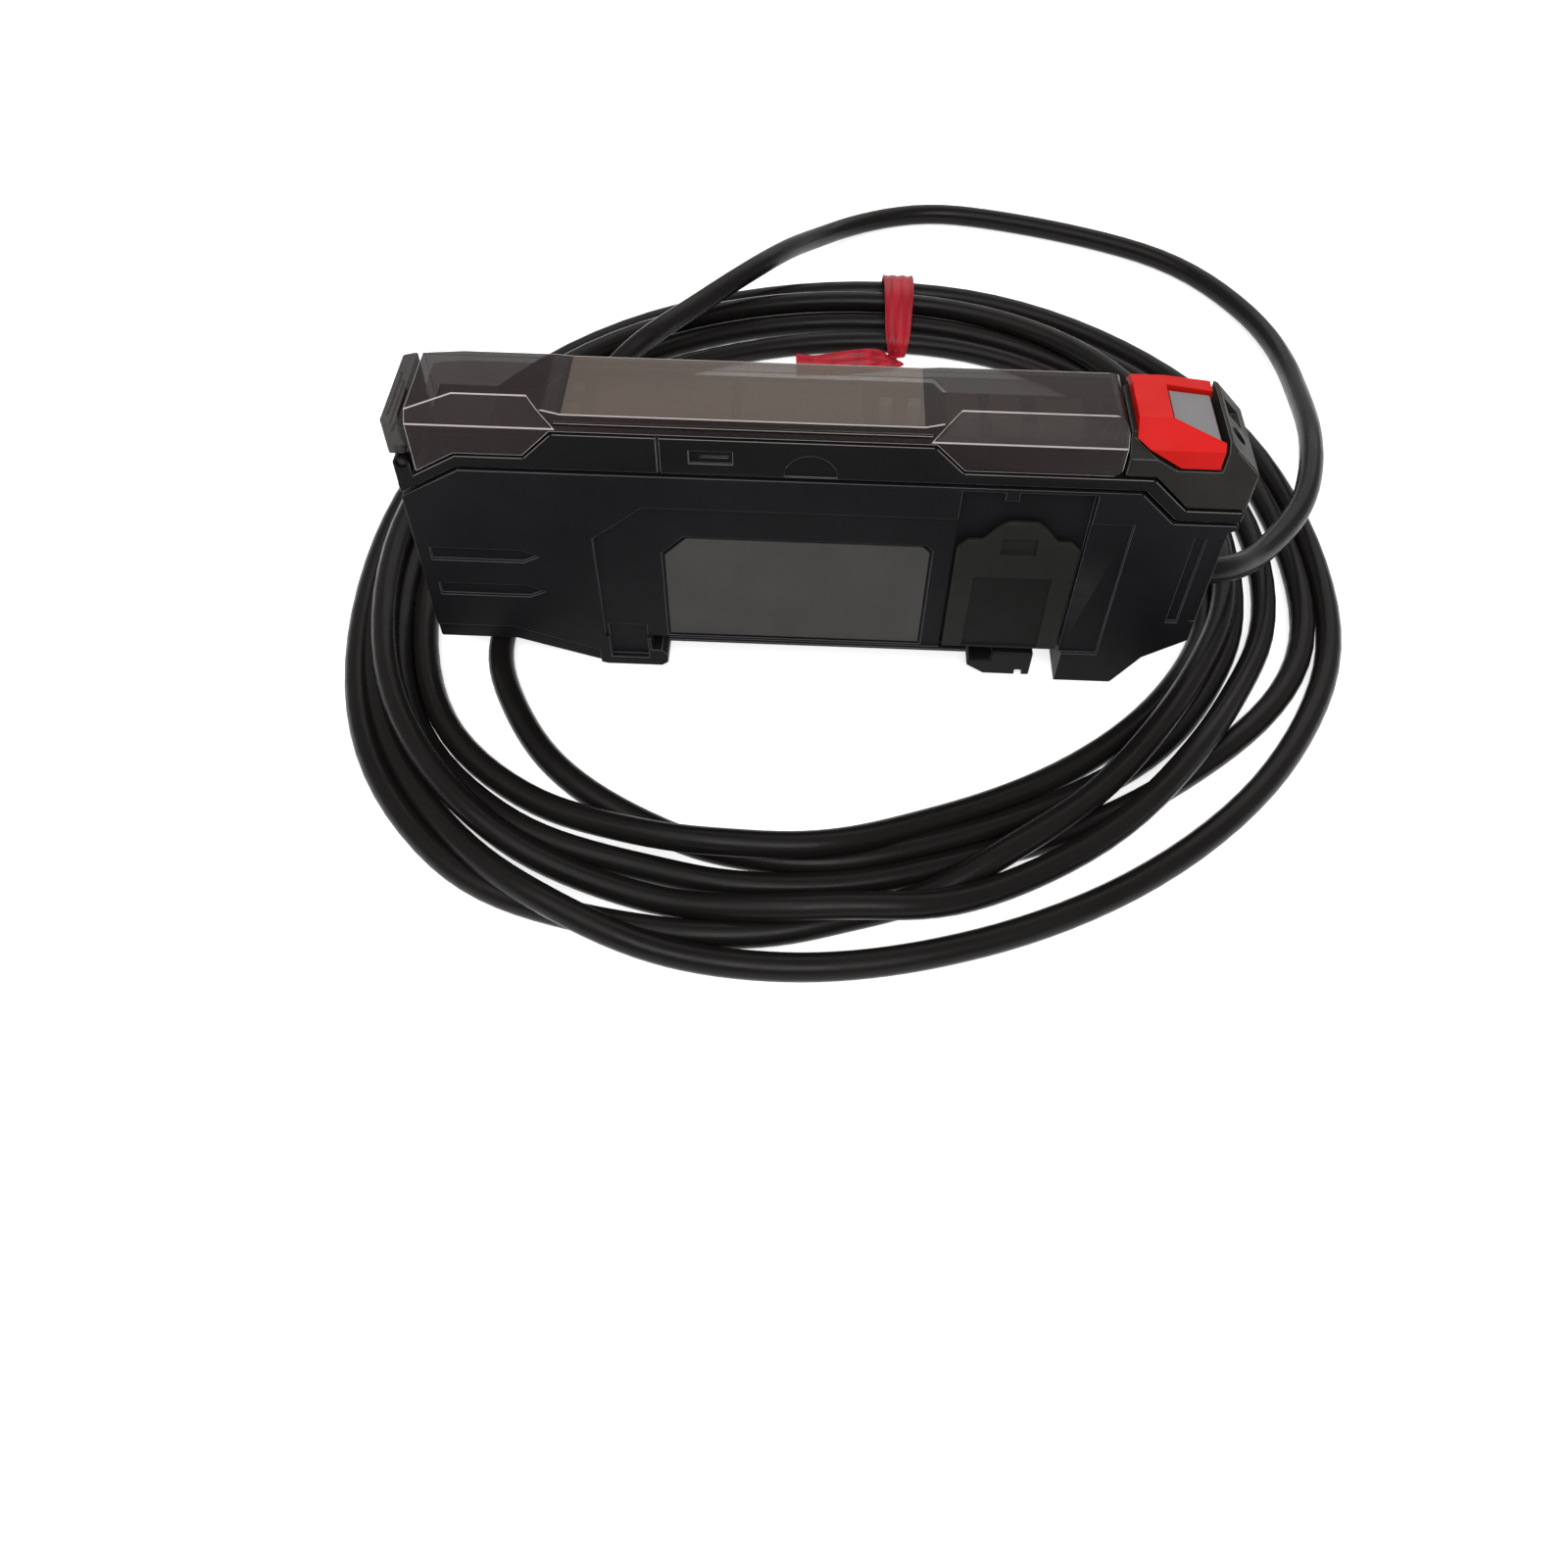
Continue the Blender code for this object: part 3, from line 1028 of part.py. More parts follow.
def build_red_frame():
    """Red three-sided frame that wraps over the front edge of the end block."""
    skirt = BODY_HEIGHT - FRAME_SKIRT
    outline = [
        (FRAME_LEFT, FLANGE_Z + OVER), (FRAME_LEFT + FRAME_RAMP, skirt), (FRAME_RIGHT, skirt),
        (FRAME_RIGHT, BODY_HEIGHT - FRAME_WALL / 2), (FRAME_RIGHT - GAP, BODY_HEIGHT),
        (FRAME_LEFT, BODY_HEIGHT),
    ]
    frame = prism("red_frame", outline, FRONT, BACK)
    cut(frame,
        chamfer_wedge("frame_front_chamfer", FRAME_LEFT - OVER, RIGHT, 0, 0, FRONT_CHAMFER),
        chamfer_wedge("frame_back_chamfer", FRAME_LEFT - OVER, RIGHT, 0, 0, BACK_CHAMFER, front=False))
    half = BODY_WIDTH / 2 - FRAME_WALL
    under = BODY_HEIGHT - FRAME_WALL
    lean = FRAME_WALL * 0.6
    front_step = BODY_WIDTH / 2 - FRONT_CHAMFER
    back_step = BODY_WIDTH / 2 - BACK_CHAMFER
    inside = [
        (-half, skirt - OVER), (half, skirt - OVER), (half, BODY_HEIGHT - (half - back_step) - lean),
        (back_step + FRAME_WALL - lean, under), (-front_step - FRAME_WALL + lean, under),
        (-half, BODY_HEIGHT - (half - front_step) - lean),
    ]
    hollow = cross_prism("frame_inside", inside, FRAME_LEFT - OVER, FRAME_RIGHT + OVER)
    cut(hollow, fall_wedge("inside_fall", FRAME_WALL, FRAME_RIGHT + 2 * OVER))
    window = prism("frame_window", [
        (FALL_START, WINDOW_FRONTS[0]), (FALL_START, WINDOW_BACKS[0]),
        (FRAME_RIGHT, WINDOW_BACKS[1]), (FRAME_RIGHT + OVER, WINDOW_BACKS[1]),
        (FRAME_RIGHT + OVER, WINDOW_FRONTS[1]), (FRAME_RIGHT, WINDOW_FRONTS[1])],
        BODY_HEIGHT - FRAME_SKIRT, BODY_HEIGHT + OVER, Matrix.Identity(4))
    cut(frame, hollow, window, fall_wedge("frame_fall", 0, FRAME_RIGHT + OVER))
    return finish(frame, (0.73, 0.008, 0.005), 0.3)


def build_frame_badge():
    """Bare grey badge plate inside the red frame, which falls with its top."""
    start = FALL_START + GAP
    end = FRAME_RIGHT - GAP
    badge = prism("frame_badge", [
        (start, WINDOW_FRONTS[0] + GAP), (start, WINDOW_BACKS[0] - GAP),
        (end, WINDOW_BACKS[1] - GAP), (end, WINDOW_FRONTS[1] + GAP)],
        BODY_HEIGHT - FRAME_SKIRT, BODY_HEIGHT, Matrix.Identity(4))
    drops = [(along, FALL_RATE * (along - FALL_START)) for along in (start - OVER, end + OVER)]
    slab = prism("badge_slab", [
        *((along, BODY_HEIGHT - FRAME_WALL - drop) for along, drop in drops),
        *((along, BODY_HEIGHT - BADGE_SINK - drop) for along, drop in reversed(drops))],
        FRONT, BACK)
    combine(badge, slab, "INTERSECT")
    return finish(badge, (0.21, 0.21, 0.22), 0.35, metallic=0.2)


def build_fibre_end():
    """Fibre holder, clamp, two bushes and the two optical components."""
    high = HOLDER_BASE + HOLDER_HEIGHT
    holder = block("fibre_holder", (HOLDER_LEFT, HOLDER_RIGHT), (CAVITY_FRONT + GAP, CAVITY_BACK - GAP),
                   (HOLDER_BASE, high))
    clamp_left = HOLDER_LEFT + BUSH_LENGTH
    clamp_slot = block("clamp_slot", (clamp_left - GAP, clamp_left + CLAMP_LENGTH + GAP),
                       (-CLAMP_WIDTH / 2 - GAP, CLAMP_WIDTH / 2 + GAP), (FIBRE_LOWER_Z, high + OVER))
    cut(holder, clamp_slot)
    sleeve = FIBRE_BORE + BUSH_WALL
    for place, height in (("upper", FIBRE_UPPER_Z), ("lower", FIBRE_LOWER_Z)):
        cut(holder,
            rod("holder_bore_" + place, FIBRE_BORE, (LEFT, 0, height), (HOLDER_RIGHT + OVER, 0, height)),
            rod("holder_sleeve_" + place, sleeve + GAP, (LEFT, 0, height),
                (LEFT + BUSH_LENGTH + GAP, 0, height)),
            rod("holder_optic_" + place, OPTIC_RADIUS + GAP, (HOLDER_RIGHT - OPTIC_SEAT, 0, height),
                (HOLDER_RIGHT + OVER, 0, height)))
        bush = turned("fibre_bush_" + place, [
            (LEFT + BUSH_LENGTH, FIBRE_BORE), (LEFT + BUSH_LENGTH, sleeve),
            (LEFT + BUSH_FLANGE_LENGTH, sleeve), (LEFT + BUSH_FLANGE_LENGTH, sleeve + BUSH_FLANGE),
            (LEFT + GAP / 3, sleeve + BUSH_FLANGE), (LEFT + GAP / 3, FIBRE_BORE + GAP),
            (LEFT + 2 * GAP, FIBRE_BORE)], 0, height, 28)
        finish(bush, (0.02, 0.02, 0.02), 0.35)
    finish(holder, (0.02, 0.02, 0.022), 0.5)
    clamp = block("fibre_clamp", (clamp_left, clamp_left + CLAMP_LENGTH),
                  (-CLAMP_WIDTH / 2, CLAMP_WIDTH / 2),
                  (FIBRE_UPPER_Z + FIBRE_BORE + GAP, (high + DISPLAY_BOARD_BASE) / 2))
    round_edges(clamp, SMALL_ROUND, 1)
    finish(clamp, (0.12, 0.12, 0.12), 0.5)
    for name, height, colour in (("emitter_led", FIBRE_UPPER_Z, (0.6, 0.05, 0.03)),
                                 ("receiver_diode", FIBRE_LOWER_Z, (0.05, 0.05, 0.06))):
        start = HOLDER_RIGHT - OPTIC_SEAT + GAP
        end = start + OPTIC_LENGTH
        dome = [(start + OPTIC_RADIUS - OPTIC_RADIUS * math.cos(math.radians(angle)),
                 OPTIC_RADIUS * math.sin(math.radians(angle))) for angle in range(0, 91, 18)]
        profile = [(end, 0.0), (end, OPTIC_RADIUS)] + dome[::-1]
        finish(turned(name, profile, 0, height, 24), colour, 0.15, alpha=0.8)


def build_boards():
    """Main board on edge in the case and display board under the bezel."""
    board_back = CAVITY_BACK - BOARD_PLAY
    board_front = board_back - BOARD_THICKNESS
    left = HOLDER_RIGHT + GAP
    across = GLAND_INNER - GAP - left
    bottom = CAVITY_FLOOR + LATCH_HEAD + 3 * GAP
    up = min(DISPLAY_BOARD_BASE, SEAM_END_Z) - GAP - bottom
    main = block("main_board", (left, left + across), (board_front, board_back), (bottom, bottom + up))
    for name, start, length, low, height in BOARD_CHIPS:
        join(main, block(name, (left + start * across, left + (start + length) * across),
                         (board_front - CHIP_DEPTH, board_front + GAP),
                         (bottom + low * up, bottom + (low + height) * up)))
    finish(main, (0.01, 0.09, 0.035), 0.4)
    display = block("display_board", (LEFT + SEAM_LEFT_RUN + GAP, COVER_RIGHT - OVER),
                    (CAVITY_FRONT + GAP, CAVITY_BACK - GAP), (DISPLAY_BOARD_BASE, DISPLAY_BOARD_TOP))
    finish(display, (0.01, 0.09, 0.035), 0.4)


def build_displays():
    """Two seven-segment modules and two indicator lenses."""
    top = FLANGE_Z - GAP + DISPLAY_PROUD
    base = DISPLAY_BOARD_TOP + GAP
    colours = {"display_left": (0.16, 0.012, 0.01), "display_right": (0.10, 0.12, 0.01)}
    for name, (start, end) in display_stations().items():
        module = block(name, (start, end), (-DECK_HALF, DECK_HALF), (base, top))
        finish(module, colours[name], 0.2)
    for name, place in lamp_centres().items():
        lamp = lens(name, LAMP_RADIUS, place, base, top)
        finish(lamp, (0.7, 0.2, 0.02) if name == "output_lamp" else (0.05, 0.5, 0.1), 0.2)


def lens(name, radius, place, base, top):
    """A round lens with a domed top, standing along Z."""
    pin = rod(name, radius, (*place, base), (*place, top), 20)
    round_edges(pin, radius / 3, 2, 40)
    return pin


def key(name, start, end, top):
    """A key cap with a dished top, reaching down to just above its switch."""
    base = DISPLAY_BOARD_TOP + KEY_TRAVEL + GAP
    cap = block(name, (start, end), (-KEY_HALF, KEY_HALF), (base, top))
    round_edges(cap, KEY_ROUND)
    centre = top + DISH_RADIUS - DISH_DEPTH
    return cut(cap, rod(name + "_dish", DISH_RADIUS, (start - OVER, 0, centre),
                        (end + OVER, 0, centre), 96))


def build_keys():
    """Set and mode keys, the adjusting rocker and the preset key."""
    top = KEY_DECK_Z + KEY_PROUD
    stations = key_stations()
    for name, colour in (("set_button", (0.55, 0.42, 0.05)), ("mode_button", (0.25, 0.25, 0.26))):
        start, end = stations[name]
        finish(key(name, start, end, top), colour, 0.4)
    half = PRESET_KEY_LENGTH / 2
    preset = key("preset_button", PRESET_CENTRE - half, PRESET_CENTRE + half,
                 FIBRE_DECK_Z + KEY_PROUD)
    finish(preset, (0.3, 0.3, 0.31), 0.4)

    start, end = stations["adjust_rocker"]
    middle = (start + end) / 2
    base = ROCKER_AXIS_Z - OVER
    valley = top - ROCKER_VALLEY
    outline = [
        (start + GAP, base), (end - GAP, base), (end - GAP, top), (middle + OVER / 2, valley),
        (middle - OVER / 2, valley), (start + GAP, top),
    ]
    rocker = prism("adjust_rocker", outline, -KEY_HALF, KEY_HALF)
    round_edges(rocker, SMALL_ROUND)
    foot = DISPLAY_BOARD_TOP + KEY_TRAVEL
    stem = [(middle - OVER / 2, foot), (middle + OVER / 2, foot), (middle + OVER, base + GAP),
            (middle - OVER, base + GAP)]
    join(rocker, prism("rocker_stem", stem, -KEY_HALF + OVER, KEY_HALF - OVER))
    finish(rocker, (0.25, 0.25, 0.26), 0.4)
    pivot(rocker, (middle, 0, ROCKER_AXIS_Z))


def build_switches():
    """Two small selector slides, each at the back end of its slot."""
    top = FLANGE_Z - GAP + DISPLAY_PROUD
    base = DISPLAY_BOARD_TOP + GAP
    rest = SWITCH_TRAVEL / 2
    for name, centre in switch_centres().items():
        half = SWITCH_KNOB / 2
        knob = block(name, (centre - half, centre + half), (rest - half, rest + half), (base, top))
        round_edges(knob, FINE_ROUND, 1)
        finish(knob, (0.5, 0.5, 0.5), 0.4)


def build_latch():
    """Sprung claw of the rail seat, guided by a T-shaped head in the floor."""
    left = SEAT_RIGHT + GAP
    right = left + LATCH_BODY
    tip = SEAT_RIGHT - LATCH_REACH
    top = SEAT_DEPTH - GAP
    outline = [
        (left, LATCH_LIFT), (right, LATCH_LIFT), (right, top), (left + OVER / 2, top),
        (left + OVER / 2, HOOK_LIP_TOP), (tip + GAP, HOOK_LIP_TOP), (tip, HOOK_LIP_TOP - 2 * GAP),
        (tip, HOOK_LIP_TOP - 3 * GAP),
    ]
    claw = prism("din_latch", outline, FRONT + GAP, BACK - GAP)
    round_edges(claw, FINE_ROUND, 1)
    stem_span = (SEAT_RIGHT + LATCH_STEM, SEAT_RIGHT + 2 * LATCH_STEM)
    head_base = CAVITY_FLOOR + GAP
    stem = block("latch_stem", stem_span, (-LATCH_STEM_WIDTH / 2, LATCH_STEM_WIDTH / 2),
                 (top - OVER, head_base + LATCH_HEAD / 2))
    head = block("latch_head", stem_span, (-LATCH_HEAD_WIDTH / 2, LATCH_HEAD_WIDTH / 2),
                 (head_base, head_base + LATCH_HEAD))
    pull = block("latch_pull", (right - 2 * PULL_WIDTH, right - PULL_WIDTH), (FRONT - OVER, BACK + OVER),
                 (-OVER, LATCH_LIFT + PULL_WIDTH))
    join(claw, stem, head)
    cut(claw, pull)
    return finish(claw, (0.012, 0.012, 0.012), 0.4)


def build_expansion():
    """Expansion socket with its contacts, and the removable cap over it."""
    middle = (CAP_LEFT + CAP_RIGHT) / 2
    front = FRONT + CAP_POCKET + GAP
    back = CAVITY_BACK - BOARD_PLAY - BOARD_THICKNESS - GAP
    half = SOCKET_WIDTH / 2
    socket = block("expansion_socket", (middle - half, middle + half), (front, back),
                   (SOCKET_BOTTOM, SOCKET_TOP))
    round_edges(socket, FINE_ROUND, 1)
    cut(socket, block("socket_mouth", (middle - half + SOCKET_WALL, middle + half - SOCKET_WALL),
                      (front - OVER, front + SOCKET_DEPTH),
                      (SOCKET_BOTTOM + SOCKET_WALL, SOCKET_TOP - SOCKET_WALL)))
    margin = SOCKET_WALL + CONTACT_MARGIN
    span = SOCKET_TOP - SOCKET_BOTTOM - 2 * margin
    for number in range(CONTACT_COUNT):
        height = SOCKET_BOTTOM + margin + span * number / (CONTACT_COUNT - 1)
        join(socket, block(f"contact_{number}", (middle - CONTACT_SIZE / 2, middle + CONTACT_SIZE / 2),
                           (front + 2 * GAP, front + SOCKET_DEPTH + OVER / 2),
                           (height - CONTACT_SIZE / 2, height + CONTACT_SIZE / 2)))
    finish(socket, (0.03, 0.03, 0.03), 0.4)

    hump = [(middle + across * MM, CAP_TOP + share * CAP_HUMP)
            for across, share in ((3.6, 0), (2.2, 0.75), (1.4, 1), (-1.4, 1), (-2.2, 0.75), (-3.6, 0))]
    outline = [
        (CAP_LEFT, CAP_BOTTOM), (CAP_RIGHT, CAP_BOTTOM), (CAP_RIGHT, CAP_TOP - OVER),
        (CAP_RIGHT - OVER, CAP_TOP), *hump, (CAP_LEFT + OVER, CAP_TOP), (CAP_LEFT, CAP_TOP - OVER),
    ]
    outer = FRONT + CAP_POCKET - CAP_THICKNESS
    cap = prism("connector_cap", outline, outer, FRONT + CAP_POCKET - GAP)
    round_edges(cap, FINE_ROUND, 1)
    cut(cap, block("cap_panel", (middle - CAP_PANEL_HALF, middle + CAP_PANEL_HALF),
                   (outer - OVER, outer + CAP_PANEL_DEPTH),
                   (CAP_BOTTOM + GAP, CAP_TOP - CAP_PANEL_DROP)),
        block("cap_slot", (middle - CAP_SLOT_HALF, middle + CAP_SLOT_HALF),
              (outer - OVER, outer + 2 * CAP_PANEL_DEPTH), (CAP_TOP - CAP_SLOT_HALF, CAP_TOP + GAP)))
    inset = SOCKET_WALL + GAP
    plug_front = FRONT + CAP_POCKET - 2 * GAP
    plug = block("cap_plug", (middle - half + inset, middle + half - inset),
                 (plug_front, plug_front + PLUG_DEPTH), (SOCKET_BOTTOM + inset, SOCKET_TOP - inset))
    hollow_half = CONTACT_SIZE + 2 * GAP
    hollow = block("cap_plug_hollow", (middle - hollow_half, middle + hollow_half),
                   (plug_front + 1.5 * GAP, plug_front + PLUG_DEPTH + OVER),
                   (SOCKET_BOTTOM + inset + CONTACT_SIZE, SOCKET_TOP - inset - CONTACT_SIZE))
    join(cap, plug)
    cut(cap, hollow)
    return finish(cap, (0.032, 0.033, 0.027), 0.5)


def build_gland():
    """Rubber strain relief of the cable in the outlet channel."""
    inside = CAVITY_RIGHT - GAP
    tip = OUTLET_FACE + OUTLET_WALL - GAP
    flange = GLAND_RADIUS + GLAND_FLANGE
    profile = [
        (tip, GLAND_BORE), (tip, GLAND_RADIUS - 2 * GAP), (OUTLET_FACE + OVER, GLAND_RADIUS),
        (inside, GLAND_RADIUS), (inside, flange), (GLAND_INNER, flange), (GLAND_INNER, GLAND_BORE),
    ]
    return finish(turned("cable_gland", profile, 0, OUTLET_Z), (0.015, 0.015, 0.015), 0.6)


def ring_outline(radius, centre, steps=64):
    """A circle's points in plan."""
    return arc(centre, radius, 0, 360 - 360 / steps, steps - 1)


def build_cable():
    """Cable from the gland, its coil, its loose end, the cores and the tie."""
    colour = (0.014, 0.013, 0.012)
    lead_path = smooth_path([Vector(point) * MM for point in LEAD_POINTS], 2 * CABLE_DIAMETER)
    finish(tube("cable_lead", lead_path, CABLE_DIAMETER / 2), colour, 0.45)
    tail_path = smooth_path([Vector(point) * MM for point in TAIL_POINTS], 2.4 * CABLE_DIAMETER)
    finish(tube("cable_tail", tail_path, CABLE_DIAMETER / 2), colour, 0.45)

    ring = prism("cable_coil", ring_outline(RING_RADIUS, RING_CENTRE), 0, RING_HEIGHT,
                 Matrix.Identity(4))
    round_edges(ring, RING_ROUND, 2, 50)
    cut(ring, prism("coil_hole", ring_outline(RING_HOLE_RADIUS, RING_HOLE_CENTRE), -OVER,
                    RING_HEIGHT + OVER, Matrix.Identity(4)))
    reach = TIE_WIDTH / 2 + GAP
    notch = block("tie_notch", (TIE_X - reach, TIE_X + reach), (TIE_LOW_Y - OVER, TIE_HIGH_Y + OVER),
                  (-OVER, TIE_WALL + GAP))
    cut(ring, notch)
    finish(ring, colour, 0.45)

    shoulder = TIE_TOP - 2 * OVER
    tie_outline = [
        (TIE_LOW_Y + OVER, 0), (TIE_HIGH_Y - OVER, 0), (TIE_HIGH_Y, OVER), (TIE_HIGH_Y, shoulder),
        (TIE_HIGH_Y - 2 * OVER, TIE_TOP), (TIE_LOW_Y + 2 * OVER, TIE_TOP), (TIE_LOW_Y, shoulder),
        (TIE_LOW_Y, OVER),
    ]
    tie = cross_prism("cable_tie", tie_outline, TIE_X - TIE_WIDTH / 2, TIE_X + TIE_WIDTH / 2)
    inner = [
        (TIE_LOW_Y + TIE_WALL, TIE_WALL), (TIE_HIGH_Y - TIE_WALL, TIE_WALL),
        (TIE_HIGH_Y - TIE_WALL, shoulder), (TIE_HIGH_Y - 2 * OVER, TIE_TOP - TIE_WALL),
        (TIE_LOW_Y + 2 * OVER, TIE_TOP - TIE_WALL), (TIE_LOW_Y + TIE_WALL, shoulder),
    ]
    cut(tie, cross_prism("tie_inside", inner, TIE_X - TIE_WIDTH, TIE_X + TIE_WIDTH))
    tail = [Vector((TIE_X, TIE_LOW_Y, 0)) + Vector(point) * MM for point in TIE_TAIL_POINTS]
    join(tie, tube("tie_tail", smooth_path(tail, 2 * MM), TIE_TAIL_RADIUS, 1))
    finish(tie, (0.38, 0.01, 0.02), 0.35)

    colours = ((0.1, 0.04, 0.015), (0.01, 0.03, 0.3), (0.01, 0.01, 0.01), (0.6, 0.6, 0.58))
    end = tail_path[-1]
    along = (tail_path[-1] - tail_path[-2]).normalized()
    side = Vector((-along.y, along.x, 0))
    for number, colour in enumerate(colours):
        offset = (number - (len(colours) - 1) / 2) * CORE_TURN_OUT
        points = []
        for step in range(6):
            spread = offset * (1 + step / 2)
            point = end + along * (GAP + step * CORE_STEP) + side * spread
            point.z = CORE_RADIUS + max(GAP / 6, CORE_LIFTS[number] * MM - step * CORE_SINK)
            points.append(point)
        finish(tube(f"cable_core_{number + 1}", points, CORE_RADIUS), colour, 0.4)


def main():
    """Build every piece of the amplifier."""
    build_lower_case()
    build_rating_plate()
    build_upper_bezel()
    build_dust_cover()
    build_lock_lever()
    build_end_block()
    build_red_frame()
    build_frame_badge()
    build_fibre_end()
    build_boards()
    build_displays()
    build_keys()
    build_switches()
    build_latch()
    build_expansion()
    build_gland()
    build_cable()


main()
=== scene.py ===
"""Dressed model of a slim fibre sensor amplifier that stands inside its own coil of cable.

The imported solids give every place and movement. This script dresses them: it
winds the cable, rounds and smooths the mouldings, adds the small parts and
sets up the finishes, the studio and the camera. All sizes are in metres.
"""
import json
import logging
import math
from dataclasses import dataclass, field
from enum import Enum
from functools import cache
from typing import Sequence

import bmesh
import bpy
from mathutils import Matrix, Vector
from mathutils.bvhtree import BVHTree

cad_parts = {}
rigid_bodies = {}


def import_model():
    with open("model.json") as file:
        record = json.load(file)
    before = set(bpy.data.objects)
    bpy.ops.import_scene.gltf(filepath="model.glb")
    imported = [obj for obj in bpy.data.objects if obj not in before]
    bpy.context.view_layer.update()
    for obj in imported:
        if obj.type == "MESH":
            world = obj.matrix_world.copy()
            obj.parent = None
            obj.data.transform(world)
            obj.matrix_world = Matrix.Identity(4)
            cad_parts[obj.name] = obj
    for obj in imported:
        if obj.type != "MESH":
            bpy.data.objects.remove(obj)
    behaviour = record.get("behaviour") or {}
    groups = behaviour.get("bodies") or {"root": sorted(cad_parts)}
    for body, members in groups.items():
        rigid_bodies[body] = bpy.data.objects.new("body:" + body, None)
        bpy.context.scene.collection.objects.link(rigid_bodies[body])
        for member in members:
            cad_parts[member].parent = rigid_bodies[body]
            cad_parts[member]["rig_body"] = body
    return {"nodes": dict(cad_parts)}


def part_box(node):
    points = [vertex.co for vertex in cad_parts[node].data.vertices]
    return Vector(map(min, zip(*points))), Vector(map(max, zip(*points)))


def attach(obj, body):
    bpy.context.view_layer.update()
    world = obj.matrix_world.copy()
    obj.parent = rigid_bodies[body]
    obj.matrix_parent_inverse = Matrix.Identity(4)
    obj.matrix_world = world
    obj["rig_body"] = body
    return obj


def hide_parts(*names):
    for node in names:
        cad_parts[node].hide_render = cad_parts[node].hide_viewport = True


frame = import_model()

MM = 0.001
BODY = "amplifier"
WHOLE_TURN = 2 * math.pi
SHARP_FROM = math.radians(25)  # angle between faces at which an edge counts as sharp
SHARP_TO = math.radians(150)
FLAT = math.radians(0.3)  # faces that meet flatter than this are one face
MERGE = 0.0005 * MM  # corners closer than this are one corner
ROUND_BELOW = 32.0  # degrees between faces that are shaded as one round face
CRISP_BELOW = 16.0  # the same for faceted mouldings
FACING = 0.99  # share of a normal along an axis from which a face looks that way
log = logging.getLogger("amplifier_scene")

Point = tuple[float, float, float]


def deselect() -> None:
    """Leave object mode with nothing selected."""
    if bpy.context.object and bpy.context.object.mode != "OBJECT":
        bpy.ops.object.mode_set(mode="OBJECT")
    bpy.ops.object.select_all(action="DESELECT")


def take(piece: bpy.types.Object) -> None:
    """Select one object and make it the active one.

    Args:
        piece: the object that the next operators act on.
    """
    deselect()
    piece.select_set(True)
    bpy.context.view_layer.objects.active = piece


def apply_modifiers(piece: bpy.types.Object) -> None:
    """Apply all of a piece's modifiers in order.

    Args:
        piece: a mesh object.
    """
    take(piece)
    for modifier in list(piece.modifiers):
        bpy.ops.object.modifier_apply(modifier=modifier.name)


def settle(piece: bpy.types.Object) -> None:
    """Put a piece's place, turn and scale into its mesh.

    Args:
        piece: a mesh object.
    """
    take(piece)
    bpy.ops.object.transform_apply(location=True, rotation=True, scale=True)


def body_of(node: str) -> str:
    """Name of the CAD body that a node rides on.

    Args:
        node: a CAD node's name.

    Returns:
        The body's name.
    """
    return frame["nodes"][node]["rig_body"]


def catmull(points: Sequence[Vector], steps: int) -> list[Vector]:
    """Smooth curve through points, with even parameter steps between them.

    Args:
        points: the points that the curve passes.
        steps: steps between each pair of points.

    Returns:
        The curve's points, the last given point among them.
    """
    padded = [2 * points[0] - points[1], *points, 2 * points[-1] - points[-2]]
    line = []
    for before, start, end, after in zip(padded, padded[1:], padded[2:], padded[3:]):
        for step in range(steps):
            t = step / steps
            line.append(0.5 * (2 * start + (end - before) * t
                               + (2 * before - 5 * start + 4 * end - after) * t ** 2
                               + (3 * start - before - 3 * end + after) * t ** 3))
    line.append(points[-1].copy())
    return line


def eased(line: Sequence[Vector], passes: int) -> list[Vector]:
    """Line with its small kinks smoothed out and its ends kept.

    Args:
        line: the line's points.
        passes: how often each point moves towards its neighbours' middle.

    Returns:
        The smoothed points.
    """
    for _ in range(passes):
        inner = [(before + 2 * point + after) / 4
                 for before, point, after in zip(line, line[1:], line[2:])]
        line = [line[0], *inner, line[-1]]
    return [point.copy() for point in line]


# ---------------------------------------------------------------- finishes


